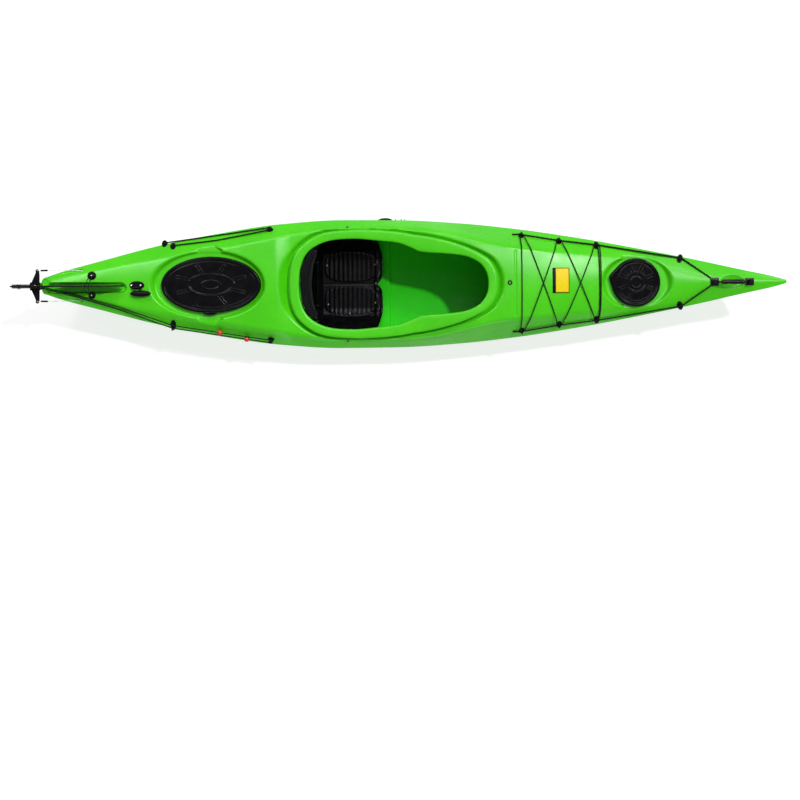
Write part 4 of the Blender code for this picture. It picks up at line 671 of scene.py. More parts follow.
@dataclass(frozen=True)
class HullLines:
    """The lines of the bare hull, from which every skin is made."""

    half_length: float = 1.865
    half_beam: float = 0.33
    depth: float = 0.36
    wall: float = 0.005
    bulge: float = 0.004
    keel_panel_half: float = 0.085
    sheer_half: Line = Line((
        (-1.0, 0.124), (-0.954, 0.214), (-0.847, 0.383), (-0.686, 0.624), (-0.525, 0.806), (-0.365, 0.94),
        (-0.198, 1.0), (-0.0375, 0.994), (0.129, 0.94), (0.295, 0.838), (0.461, 0.69), (0.622, 0.515),
        (0.78, 0.329), (0.885, 0.19), (0.965, 0.085), (1.0, 0.024),
    ))
    sheer_z: Line = Line((
        (-1.0, 0.772), (-0.91, 0.73), (-0.76, 0.667), (-0.52, 0.589), (-0.375, 0.564), (-0.16, 0.542),
        (0.054, 0.531), (0.19, 0.533), (0.3, 0.55), (0.375, 0.572), (0.525, 0.656), (0.676, 0.731),
        (0.83, 0.803), (0.981, 0.925), (1.0, 0.933),
    ))
    keel_z: Line = Line((
        (-1.0, 0.717), (-0.965, 0.39), (-0.949, 0.228), (-0.922, 0.13), (-0.86, 0.105), (-0.64, 0.06),
        (-0.43, 0.017), (-0.24, 0.004), (-0.13, 0.0), (0.247, 0.0), (0.33, 0.005), (0.48, 0.014), (0.7, 0.044),
        (0.8, 0.067), (0.853, 0.142), (0.895, 0.272), (0.938, 0.511), (0.981, 0.78), (1.0, 0.906),
    ))
    flat_share: Line = Line((
        (-1.0, 0.1), (-0.92, 0.06), (-0.75, 0.16), (-0.5, 0.28), (-0.2, 0.32), (0.2, 0.32), (0.5, 0.26),
        (0.7, 0.16), (0.8, 0.1), (1.0, 0.12),
    ))
    bilge_share: Line = Line((
        (-1.0, 0.34), (-0.75, 0.5), (-0.4, 0.62), (0.3, 0.62), (0.6, 0.48), (0.8, 0.3), (1.0, 0.3),
    ))
    bilge_rise: Line = Line(((-1.0, 0.3), (0.0, 0.28), (1.0, 0.34)))
    chine_share: Line = Line((
        (-1.0, 0.62), (-0.93, 0.66), (-0.83, 0.78), (-0.62, 0.84), (-0.3, 0.87), (0.2, 0.87), (0.5, 0.82),
        (0.7, 0.72), (0.85, 0.58), (1.0, 0.5),
    ))
    chine_z: Line = Line((
        (-1.0, 0.735), (-0.954, 0.47), (-0.92, 0.355), (-0.62, 0.272), (-0.32, 0.233), (0.0, 0.245),
        (0.27, 0.261), (0.54, 0.311), (0.75, 0.37), (0.86, 0.45), (0.94, 0.63), (1.0, 0.915),
    ))
    knuckle_share: Line = Line((
        (-1.0, 0.73), (-0.83, 0.65), (-0.62, 0.67), (-0.41, 0.75), (-0.24, 0.84), (-0.05, 0.86), (0.054, 0.84),
        (0.134, 0.76), (0.225, 0.66), (0.32, 0.64), (0.43, 0.66), (0.536, 0.65), (0.644, 0.58), (0.75, 0.52),
        (0.86, 0.47), (1.0, 0.5),
    ))
    knuckle_z: Line = Line((
        (-1.0, 0.822), (-0.83, 0.797), (-0.62, 0.769), (-0.41, 0.772), (-0.375, 0.767), (-0.33, 0.722),
        (-0.18, 0.717), (-0.08, 0.744), (0.02, 0.797), (0.107, 0.878), (0.19, 0.944), (0.247, 0.967),
        (0.33, 0.914), (0.4, 0.842), (0.536, 0.797), (0.644, 0.8), (0.75, 0.836), (0.86, 0.881), (1.0, 0.935),
    ))
    ridge_z: Line = Line((
        (-1.0, 0.856), (-0.965, 0.853), (-0.78, 0.814), (-0.41, 0.806), (-0.37, 0.797), (-0.33, 0.725),
        (-0.24, 0.717), (0.0, 0.83), (0.107, 0.917), (0.19, 0.978), (0.247, 0.992), (0.28, 0.986),
        (0.33, 0.953), (0.424, 0.897), (0.504, 0.85), (0.66, 0.833), (0.8, 0.894), (0.906, 0.925), (1.0, 0.942),
    ))

    def section(self, x: Array) -> Section:
        """The section's corners at each place along the hull.

        Args:
            x: the places.

        Returns:
            The corners.
        """
        s = x / self.half_length
        sheer = self.sheer_half.at(s) * self.half_beam
        sheer_z = self.sheer_z.at(s) * self.depth
        keel_z = self.keel_z.at(s) * self.depth
        chine_z = np.maximum(self.chine_z.at(s) * self.depth, keel_z + 0.1 * (sheer_z - keel_z))
        return Section(
            keel_z=keel_z,
            flat=np.minimum(self.flat_share.at(s) * sheer, self.keel_panel_half),
            bilge=self.bilge_share.at(s) * sheer,
            bilge_z=keel_z + self.bilge_rise.at(s) * (chine_z - keel_z),
            chine=self.chine_share.at(s) * sheer,
            chine_z=chine_z,
            bulge=self.bulge * sheer / self.half_beam,
            sheer=sheer,
            sheer_z=sheer_z,
            knuckle=self.knuckle_share.at(s) * sheer,
            knuckle_z=self.knuckle_z.at(s) * self.depth,
            ridge_z=self.ridge_z.at(s) * self.depth,
        )

    def deck(self, x: Array, y: Array) -> Array:
        """The height of the bare deck, with its knuckle rounded.

        Args:
            x: the places along.
            y: the places across.

        Returns:
            The heights.
        """
        c = self.section(x)
        y = np.abs(y)
        fall = (c.sheer_z - c.knuckle_z) / (c.sheer - c.knuckle)
        outer = c.knuckle_z + fall * (y - c.knuckle)
        inner = c.ridge_z - (c.ridge_z - c.knuckle_z) * (y / c.knuckle) ** 2
        r = np.minimum(0.015, np.minimum(0.4 * c.knuckle, 0.4 * (c.sheer - c.knuckle)))
        t = np.clip((c.knuckle + r - y) / (2 * r), 0.0, 1.0)
        start = c.knuckle_z + fall * r
        end = c.ridge_z - (c.ridge_z - c.knuckle_z) * ((c.knuckle - r) / c.knuckle) ** 2
        bend = (1 - t) ** 2 * start + 2 * t * (1 - t) * c.knuckle_z + t**2 * end
        return np.where(y > c.knuckle + r, outer, np.where(y < c.knuckle - r, inner, bend))

    def side(self, x: Array) -> Array:
        """The port half of the section from the keel, round the sheer, to the edge of the deck.

        Args:
            x: the stations.

        Returns:
            Stations x points x (y, z).
        """
        c = self.section(x)
        middle = ((c.chine + c.sheer) / 2 + c.bulge, (c.chine_z + c.sheer_z) / 2)
        corners = [
            (0 * x, c.keel_z), (c.flat, c.keel_z), (c.bilge, c.bilge_z), (c.chine, c.chine_z), middle,
            (c.sheer, c.sheer_z), (c.knuckle, c.knuckle_z),
        ]
        places = [np.stack(corner, axis=1) for corner in corners]
        rows, here = [places[0]], places[0]
        for k, radius in enumerate((0.04, 0.05, 0.016, 0.05, 0.009), start=1):
            back, ahead = places[k - 1] - places[k], places[k + 1] - places[k]
            far, near = (np.linalg.norm(v, axis=1, keepdims=True) + 1e-9 for v in (back, ahead))
            r = np.minimum(radius, 0.45 * np.minimum(far, near))
            start, end = places[k] + back / far * r, places[k] + ahead / near * r
            rows += [here + (start - here) * j / 2 for j in (1, 2)]
            rows += [(1 - t) ** 2 * start + 2 * t * (1 - t) * places[k] + t * t * end for t in (0.34, 0.67, 1.0)]
            here = end
        return np.stack(rows, axis=1)


LINES = HullLines()


def closed_curve(port: Table, steps: int) -> Array:
    """A closed Catmull-Rom loop from its port half, from the aft to the forward centre point.

    Args:
        port: the port half's points.
        steps: the points laid on each span.

    Returns:
        Points x 2, starting at the aft centre point and running forward along port.
    """
    ghost = [(port[1][0], -port[1][1]), *port, (port[-2][0], -port[-2][1])]
    p = np.array(ghost)
    path = []
    for before, a, b, after in zip(p[:-3], p[1:-2], p[2:-1], p[3:]):
        t = np.arange(steps)[:, None] / steps
        path.append(0.5 * (2 * a + (b - before) * t + (2 * before - 5 * a + 4 * b - after) * t**2
                           + (3 * a - before - 3 * b + after) * t**3))
    half = np.vstack([*path, p[-2]])
    half[0, 1] = half[-1, 1] = 0.0
    return np.vstack([half, half[-2:0:-1] * (1, -1)])


def grown(loop: Array, distance: float) -> Array:
    """A closed loop moved outwards along its normals.

    Args:
        loop: points x 2.
        distance: how far.

    Returns:
        The moved loop.
    """
    along = np.roll(loop, -1, axis=0) - np.roll(loop, 1, axis=0)
    along /= np.linalg.norm(along, axis=1, keepdims=True)
    x, y = loop.T
    area = np.sum(x * np.roll(y, -1) - np.roll(x, -1) * y)
    return loop + np.sign(area) * distance * np.stack([along[:, 1], -along[:, 0]], axis=1)


def distance_to(loop: Array, places: Array) -> tuple[Array, Array]:
    """How far each place lies outside a closed loop.

    Args:
        loop: points x 2.
        places: places x 2.

    Returns:
        The signed distances, less than 0 inside, and the nearest points of the loop.
    """
    start, step = loop, np.roll(loop, -1, axis=0) - loop
    length = np.sum(step * step, axis=1)
    best = np.full(len(places), 1e9)
    nearest = np.zeros((len(places), 2))
    inside = np.zeros(len(places), bool)
    for a, d, size in zip(start, step, length):
        share = np.clip(((places - a) @ d) / size, 0.0, 1.0)
        foot = a + share[:, None] * d
        gap = np.sum((places - foot) ** 2, axis=1)
        closer = gap < best
        best = np.where(closer, gap, best)
        nearest[closer] = foot[closer]
        crosses = ((a[1] <= places[:, 1]) != (a[1] + d[1] <= places[:, 1]))
        if abs(d[1]) > 1e-12:
            meet = a[0] + (places[:, 1] - a[1]) / d[1] * d[0]
            inside ^= crosses & (places[:, 0] < meet)
    distance = np.sqrt(best)
    return np.where(inside, -distance, distance), nearest


@dataclass(frozen=True)
class Hatch:
    """One hatch: the pressed seat in the deck, the upstand and the cover's outline."""

    x: float
    half_length: float
    half_width: float
    seat_x: float
    seat_half_length: float
    seat_half_width: float
    floor_z: float
    drain_x: float
    drain_half: float = 0.0158
    rim_inset: float = 0.022
    rim_height: float = 0.012
    rim_wall: float = 0.006
    foot_out: float = 0.013
    bank: float = 1.35
    drain_bank: float = 1.5
    drain_fall: float = 0.08
    funnel: Point = (0.058, 0.008, 0.055)
    fillet: float = 0.004

    def seat(self, x: Array, y: Array) -> Array:
        """The height of the pressed seat and its two drains.

        Args:
            x: the places along.
            y: the places across.

        Returns:
            The heights, far above the deck away from the hatch.
        """
        u, v = (x - self.seat_x) / self.seat_half_length, y / self.seat_half_width
        share = np.sqrt(u * u + v * v) + 1e-9
        steep = np.sqrt((u / self.seat_half_length) ** 2 + (v / self.seat_half_width) ** 2) / share
        outside = (share - 1) / np.maximum(steep, 1e-6)
        bowl = self.floor_z + smooth_max(0.0, (outside + self.foot_out) * self.bank, self.fillet)
        beyond = np.maximum(np.abs(y) - self.seat_half_width, 0.0)
        wider, before, reach = self.funnel
        half = self.drain_half + wider * np.maximum(0.0, 1 - (beyond + before) / reach) ** 2
        bank = smooth_max(0.0, (np.abs(x - self.drain_x) - half) * self.drain_bank, self.fillet)
        drain = self.floor_z + 0.001 - self.drain_fall * beyond + bank
        near = np.abs(y) < self.seat_half_width + 0.1
        return smooth_min(bowl, np.where(near, drain, 1.0), 0.006)

    def hole(self, segments: int = 192, inset: float = 0.0) -> Array:
        """The hole's edge, as a closed loop of points x 2.

        Args:
            segments: how many points.
            inset: how far it is moved inwards.

        Returns:
            The loop.
        """
        a = np.arange(segments) * 2 * math.pi / segments
        long, wide = (half - self.rim_inset - inset for half in (self.half_length, self.half_width))
        return np.stack([self.x + long * np.cos(a), wide * np.sin(a)], axis=1)


STERN_HATCH = Hatch(-1.018, 0.252, 0.143, -1.033, 0.283, 0.176, 0.262, -1.028)
BOW_HATCH = Hatch(1.124, 0.122, 0.122, 1.128, 0.17, 0.142, 0.274, 1.116)


@dataclass(frozen=True)
class Cockpit:
    """The cockpit's opening, its coaming and the valley round it."""

    opening: Table = (
        (-0.574, 0.0), (-0.563, 0.095), (-0.52, 0.17), (-0.43, 0.217), (-0.299, 0.2285), (-0.175, 0.218),
        (-0.075, 0.206), (-0.005, 0.18), (0.045, 0.16), (0.175, 0.149), (0.27, 0.134), (0.335, 0.1),
        (0.367, 0.052), (0.375, 0.0),
    )
    edge: Table = (
        (-0.624, 0.0), (-0.61, 0.115), (-0.56, 0.195), (-0.46, 0.255), (-0.31, 0.272), (-0.18, 0.2695),
        (-0.07, 0.259), (0.005, 0.246), (0.08, 0.234), (0.19, 0.207), (0.29, 0.17), (0.372, 0.122),
        (0.41, 0.062), (0.42, 0.0),
    )
    rim_z: Line = Line((
        (-0.64, 0.275), (-0.5, 0.279), (-0.34, 0.285), (-0.15, 0.297), (0.04, 0.316), (0.2, 0.346),
        (0.35, 0.365), (0.43, 0.369),
    ))
    steps: int = 10
    depth: float = 0.038
    floor_out: float = 0.007
    slope_out: float = 0.019
    wider_at_ends: Pair = (0.012, 0.006)
    reach: Pair = (-0.78, 0.56)
    profile: tuple[Point, ...] = (
        (0.0, 0.0, 0.016), (0.0, 0.0, 0.0085), (0.0, 0.001, 0.005), (0.0, 0.003, 0.0025), (0.0, 0.007, 0.001),
        (0.3, 0.0, 0.0), (0.6, 0.0, -0.0005), (1.0, -0.012, -0.0005), (1.0, -0.006, 0.0), (1.0, -0.002, 0.002),
        (1.0, 0.0, 0.005), (1.0, -0.001, 0.0075), (1.0, -0.005, 0.0095), (1.0, -0.014, 0.0105),
        (1.0, -0.0175, 0.013), (1.0, -0.0185, 0.018), (1.0, -0.018, 0.032), (1.0, -0.012, 0.0395),
        (1.0, -0.022, 0.0395), (1.0, -0.023, 0.034), (1.0, -0.023, 0.013), (0.0, 0.006, 0.0085),
        (0.0, 0.005, 0.016),
    )

    def loops(self) -> tuple[Array, Array]:
        """The opening's loop and the rim's loop, with the same number of points."""
        return closed_curve(self.opening, self.steps), closed_curve(self.edge, self.steps)

    def valley(self, x: Array, y: Array) -> Array:
        """The height of the valley round the coaming.

        Args:
            x: the places along.
            y: the places across.

        Returns:
            The heights, far above the deck away from the cockpit.
        """
        height = np.full(x.shape, 1.0)
        near = (x > self.reach[0]) & (x < self.reach[1])
        loop = self.loops()[1]
        places = np.stack([x[near], y[near]], axis=1)
        away, nearest = distance_to(loop, places)
        ends = np.clip(np.abs(places[:, 0] - nearest[:, 0]) / (np.abs(away) + 1e-6), 0.0, 1.0) ** 2
        slope, floor = (more * ends for more in self.wider_at_ends)
        rise = (away - self.floor_out - floor) / (self.slope_out + slope) * (self.depth - 0.002)
        height[near] = self.rim_z.at(places[:, 0]) - self.depth + smooth_max(0.0, rise, 0.005)
        return height

    def coaming(self, material: bpy.types.Material) -> bpy.types.Object:
        """The raised rim with its lip for a spray deck.

        Args:
            material: the hull's finish.

        Returns:
            The piece.
        """
        opening, edge = self.loops()
        rows = []
        for share, out, drop in (*self.profile, self.profile[0]):
            flat = closed(grown((1 - share) * opening + share * edge, out))
            rows.append(np.column_stack([flat, self.rim_z.at(flat[:, 0]) - drop]))
        return piece("cockpit_coaming", sheet_of(np.stack(rows)), material, crease=50.0)


COCKPIT = Cockpit()


@dataclass(frozen=True)
class Shell:
    """The moulded shell: its outer skin with everything pressed into the deck, and its inner skin."""

    lines: HullLines = LINES
    spacing: tuple[Point, ...] = (
        (-1.84, -1.42, 0.0047), (-1.42, -1.33, 0.008), (-1.33, -0.71, 0.0055), (-0.71, -0.5, 0.006),
        (-0.5, 0.3, 0.009), (0.3, 0.49, 0.0062), (0.49, 0.535, 0.004), (0.535, 0.93, 0.011), (0.93, 1.33, 0.0055),
        (1.33, 1.5, 0.01), (1.5, 1.7, 0.006), (1.7, 1.845, 0.009),
    )
    crease: Four = (0.511, 0.005, 0.004, 0.175)
    end_round: Pair = (0.010, 0.006)
    end_angles: tuple[int, ...] = (15, 35, 55, 75, 90)
    outer_columns: int = 14
    inner_columns: int = 42
    blend: float = 0.006
    channel: tuple[Point, Point] = ((-1.835, -1.447, 0.272), (-0.032, 0.009, 0.0))
    channel_bank: float = 4.0
    channel_until: float = -1.38
    scoop_rise: float = 0.03
    scoop: Four = (1.596, 0.067, 0.049, 0.306)
    trough: tuple[Point, Point, float] = ((-1.885, 0.05, 0.297), (-1.664, 0.0765, 0.279), 0.0085)
    pad: Point = (-1.84, 0.018, 0.0215)
    pad_profile: Table = (
        (0.0, 0.26), (0.68, 0.26), (0.77, 0.4), (0.88, 0.4), (0.97, 0.28), (1.0, 0.1), (1.0, -0.4), (0.0, -0.4),
    )
    lug: tuple[Point, Point] = ((-1.905, -0.02, 0.25), (-1.85, 0.016, 0.2885))
    lining: Point = (-1.7, 1.56, 0.014)
    lip_inset: float = 0.0205
    lip_drop: float = 0.006
    step: Point = (-0.2, -0.112, 0.012)

    def pressed(self, x: Array, y: Array) -> Array:
        """The deck's height with the valley, hatch seats, channel, scoop and troughs.

        Args:
            x: the places along.
            y: the places across.

        Returns:
            The heights.
        """
        z = self.lines.deck(x, y)
        crease_x, width, depth, reach = self.crease
        z = z - bead(x - crease_x, depth, width) * smooth_step((reach - np.abs(y)) / 0.02)
        z = smooth_min(z, COCKPIT.valley(x, y), self.blend)
        for hatch in (STERN_HATCH, BOW_HATCH):
            near = np.abs(x - hatch.seat_x) < hatch.seat_half_length + 0.05
            z = np.where(near, smooth_min(z, hatch.seat(x, y), 0.005), z)
        (x0, x1, low), (y0, y1, _) = self.channel
        half, middle = (y1 - y0) / 2, (y0 + y1) / 2
        u = np.maximum(np.maximum(x0 - x, x - (x1 - half)), 0.0)
        v = np.where(x > x1 - half, np.abs(y - middle), np.maximum(np.abs(y - middle) - half, 0.0))
        reach = np.where(x > x1 - half, np.hypot(u, v) - half, np.hypot(u, v))
        slot = low + smooth_max(0.0, reach * self.channel_bank, self.blend)
        z = np.where(x < self.channel_until, smooth_min(z, slot, self.blend), z)
        scoop_x, length, width, floor = self.scoop
        dish = floor + self.scoop_rise * np.hypot((x - scoop_x) / length, y / width) ** 3
        z = np.where(np.abs(x - scoop_x) < 0.1, smooth_min(z, dish, self.blend), z)
        (xa, ya, za), (xb, yb, zb), radius = self.trough
        share = np.clip((x - xa) / (xb - xa), 0.0, 1.0)
        off = np.abs(np.abs(y) - (ya + (yb - ya) * share))
        round_floor = np.sqrt(np.maximum(radius**2 - off**2, 0.0))
        groove = za + (zb - za) * share - round_floor + 4 * np.maximum(off - radius * 0.8, 0.0)
        return np.where(x < xb, smooth_min(z, groove, 0.003), z)

    def stations(self, spacing: tuple[Point, ...]) -> Array:
        """The places of the rows along the hull.

        Args:
            spacing: for each stretch its start, end and step.

        Returns:
            The places.
        """
        runs = [np.linspace(a, b, max(2, round((b - a) / step)), endpoint=False) for a, b, step in spacing]
        return np.append(np.concatenate(runs), spacing[-1][1])

    def rows(self, x: Array, inward: float, outer: int, inner: int) -> Array:
        """The closed section at each station, from the keel up the port side and down the starboard side.

        Args:
            x: the stations.
            inward: how far the whole skin is moved in.
            outer: the columns from the sheer to the knuckle.
            inner: the columns from the knuckle to the middle.

        Returns:
            Stations x points x 3.
        """
        low = self.lines.side(x)
        section = self.lines.section(x)
        edge = low[:, -1, 0]
        shares = np.concatenate([np.linspace(0, 1, outer + 1)[1:], np.ones(inner)])
        inner_shares = np.concatenate([np.zeros(outer), np.linspace(0, 1, inner + 1)[1:]])
        across = edge[:, None] + (section.knuckle - edge)[:, None] * shares - section.knuckle[:, None] * inner_shares
        along = np.repeat(x[:, None], across.shape[1], axis=1)
        port = self.pressed(along, across)
        starboard = self.pressed(along, -across)
        left = np.concatenate([low, np.stack([across, port], axis=2)], axis=1)
        right = np.concatenate([low, np.stack([across, starboard], axis=2)], axis=1) * (-1, 1)
        ring = np.concatenate([left, right[:, -2::-1]], axis=1)
        points = np.concatenate([np.repeat(x[:, None, None], ring.shape[1], axis=1), ring], axis=2)
        if inward:
            around = np.roll(points[:, :-1], -1, axis=1) - np.roll(points[:, :-1], 1, axis=1)
            ahead = np.gradient(points[:, :-1], axis=0)
            normal = np.cross(ahead, around)
            normal /= np.linalg.norm(normal, axis=2, keepdims=True) + 1e-12
            moved = points[:, :-1] - inward * normal * np.sign(np.median(normal[..., 2][:, : ring.shape[1] // 8]) * -1)
            points = np.concatenate([moved, moved[:, :1]], axis=1)
        return points

    def ends(self, points: Array) -> Array:
        """Rounds both ends of the skin and closes each with a pole.

        Args:
            points: the rows of the skin.

        Returns:
            The rows with the ends added.
        """
        result = [points]
        for index, sign, radius in zip((0, -1), (-1, 1), self.end_round):
            place = self.lines.half_length * sign
            base = self.rows(np.array([place - sign * radius]), 0.0, self.outer_columns, self.inner_columns)[0]
            base = base if len(base) == points.shape[1] else points[index]
            middle = (base.max(axis=0) + base.min(axis=0)) / 2
            half = (base.max(axis=0) - base.min(axis=0)) / 2
            extra = []
            for angle in self.end_angles:
                a = math.radians(angle)
                inset = radius * (1 - math.cos(a))
                row = middle + (base - middle) * (1 - np.minimum(inset / np.maximum(half, 1e-6), 0.85))
                row[:, 0] = place - sign * radius * (1 - math.sin(a))
                extra.append(row)
            tip = extra[-1]
            for share in (0.6, 0.25, 0.0):
                extra.append(tip.mean(axis=0) + (tip - tip.mean(axis=0)) * share)
            cap = np.stack(extra)
            result = [cap[::-1], *result] if sign < 0 else [*result, cap]
        return np.concatenate(result)

    def cut_hole(self, bm: bmesh.types.BMesh, loop: Array, above: float) -> None:
        """Opens the deck along a loop: corners near it are drawn onto it and the faces inside are removed.

        Args:
            bm: the skin.
            loop: the hole's edge.
            above: only what lies above this height is cut.
        """
        low, high = loop.min(axis=0) - 0.03, loop.max(axis=0) + 0.03
        verts = [v for v in bm.verts if v.co.z > above and low[0] < v.co.x < high[0] and low[1] < v.co.y < high[1]]
        places = np.array([(v.co.x, v.co.y) for v in verts])
        away, nearest = distance_to(loop, places)
        side = {v: d for v, d in zip(verts, away)}
        target = {v: n for v, n in zip(verts, nearest)}
        snapped = set()
        for vert in verts:
            for edge in vert.link_edges:
                other = edge.other_vert(vert)
                if other in side and side[vert] * side[other] < 0 and abs(side[vert]) <= abs(side[other]):
                    snapped.add(vert)
        for vert in snapped:
            vert.co.x, vert.co.y = target[vert]
            side[vert] = 0.0
        near = [f for f in bm.faces if all(v in side for v in f.verts)]
        for face in [f for f in near if sum(side[v] == 0.0 for v in f.verts) == 2]:
            on = [v for v in face.verts if side[v] == 0.0]
            off = [v for v in face.verts if side[v] != 0.0]
            if len(off) == 2 and side[off[0]] * side[off[1]] < 0:
                bmesh.utils.face_split(face, on[0], on[1])
        gone = [f for f in bm.faces if all(v in side and side[v] <= 0.0 for v in f.verts)]
        bmesh.ops.delete(bm, geom=gone, context="FACES")
        rim = [e for e in bm.edges if e.is_boundary and all(v in side and side[v] <= 0.0 for v in e.verts)]
        lowered = bmesh.ops.extrude_edge_only(bm, edges=rim)["geom"]
        corners = [v for v in lowered if isinstance(v, bmesh.types.BMVert)]
        bmesh.ops.translate(bm, verts=corners, vec=(0.0, 0.0, -self.lip_drop))

    def outer_skin(self, material: bpy.types.Material) -> bpy.types.Object:
        """The skin that is seen from outside.

        Args:
            material: its finish.

        Returns:
            The piece.
        """
        x = self.stations(self.spacing)
        bm = sheet_of(self.ends(self.rows(x, 0.0, self.outer_columns, self.inner_columns)))
        bmesh.ops.recalc_face_normals(bm, faces=bm.faces)
        self.cut_hole(bm, grown(COCKPIT.loops()[1], -self.lip_inset), 0.18)
        for hatch in (STERN_HATCH, BOW_HATCH):
            self.cut_hole(bm, hatch.hole(inset=0.003), 0.2)
        nodes = ("hull_stern", "hull_cockpit", "hull_fore", "hull_bow")
        return piece("hull_skin", bm, material, replaces=nodes, outward=False, crease=60.0)

    def inner_skin(self, material: bpy.types.Material) -> bpy.types.Object:
        """The skin that is seen through the cockpit and the hatches.

        Args:
            material: its finish.

        Returns:
            The piece.
        """
        x = self.stations((self.lining,))
        bm = sheet_of(self.rows(x, self.lines.wall, 7, 20))
        bmesh.ops.recalc_face_normals(bm, faces=bm.faces)
        self.cut_hole(bm, grown(COCKPIT.loops()[1], -self.lip_inset), 0.16)
        for hatch in (STERN_HATCH, BOW_HATCH):
            self.cut_hole(bm, hatch.hole(inset=0.004), 0.2)
        bmesh.ops.reverse_faces(bm, faces=bm.faces)
        return piece("hull_lining", bm, material, outward=False, crease=60.0)

    def floor_step(self, material: bpy.types.Material) -> bpy.types.Object:
        """The low step that is moulded across the floor in front of the seat.

        Args:
            material: its finish.

        Returns:
            The piece.
        """
        start, end, high = self.step
        x = np.linspace(start, end, 45)
        low = self.lines.side(x)[:, :22]
        way = np.gradient(low, axis=1)
        inward = np.stack([-way[..., 1], way[..., 0]], axis=2)
        inward /= np.linalg.norm(inward, axis=2, keepdims=True) + 1e-9
        inward[:, 0] = (0.0, 1.0)
        rise = smooth_step((x - start) / 0.01) * smooth_step((end - x) / 0.014)
        fade = smooth_step(np.linspace(6.0, 0.0, low.shape[1]))
        port = low + inward * (self.lines.wall - 0.002 + (high + 0.002) * np.outer(rise, fade)[..., None])
        ring = np.concatenate([port[:, :0:-1] * (-1, 1), port], axis=1)
        points = np.concatenate([np.repeat(x[:, None, None], ring.shape[1], axis=1), ring], axis=2)
        bm = sheet_of(points)
        face_up(bm)
        return piece("floor_step", bm, material, outward=False, crease=60.0)

    def upstand(self, name: str, hatch: Hatch, material: bpy.types.Material) -> bpy.types.Object:
        """The ring that a hatch cover snaps over.

        Args:
            name: the piece's name.
            hatch: the hatch.
            material: its finish.

        Returns:
            The piece.
        """
        top, floor = hatch.floor_z + hatch.rim_height, hatch.floor_z
        wall = hatch.rim_wall
        profile = ((-0.003, floor - 0.001), (0.0, floor + 0.002), (0.0, top - 0.0015), (0.001, top - 0.0004),
                   (0.0025, top), (wall - 0.0015, top), (wall - 0.0004, top - 0.0008), (wall, top - 0.002),
                   (wall, floor - 0.009), (wall - 0.003, floor - 0.009), (0.002, floor - 0.004))
        rows = []
        for inset, z in (*profile, profile[0]):
            flat = closed(hatch.hole(160, inset))
            rows.append(np.column_stack([flat, np.full(len(flat), z)]))
        return piece(name, sheet_of(np.stack(rows)), material)

    def build(self, wardrobe: Wardrobe) -> None:
        """Builds the shell's pieces.

        Args:
            wardrobe: the finishes.
        """
        green = wardrobe.slots[Slot.HULL]
        self.outer_skin(green)
        # The lining and the floor step take the deeper inside green, which is painted shade.
        self.inner_skin(wardrobe.inside)
        self.floor_step(wardrobe.inside)
        COCKPIT.coaming(green)
        self.upstand("stern_hatch_upstand", STERN_HATCH, green)
        self.upstand("bow_hatch_upstand", BOW_HATCH, green)
        low, high = (Vector(corner) for corner in self.lug)
        piece("stern_lug", block(high - low, Matrix.Translation((low + high) / 2), 0.004, 3), green)
        x, y, radius = self.pad
        z = float(self.lines.deck(np.array([x]), np.array([y]))[0])
        Head("stern_pad", (x, y, z), radius, profile=self.pad_profile).build(green, Slot.HULL)


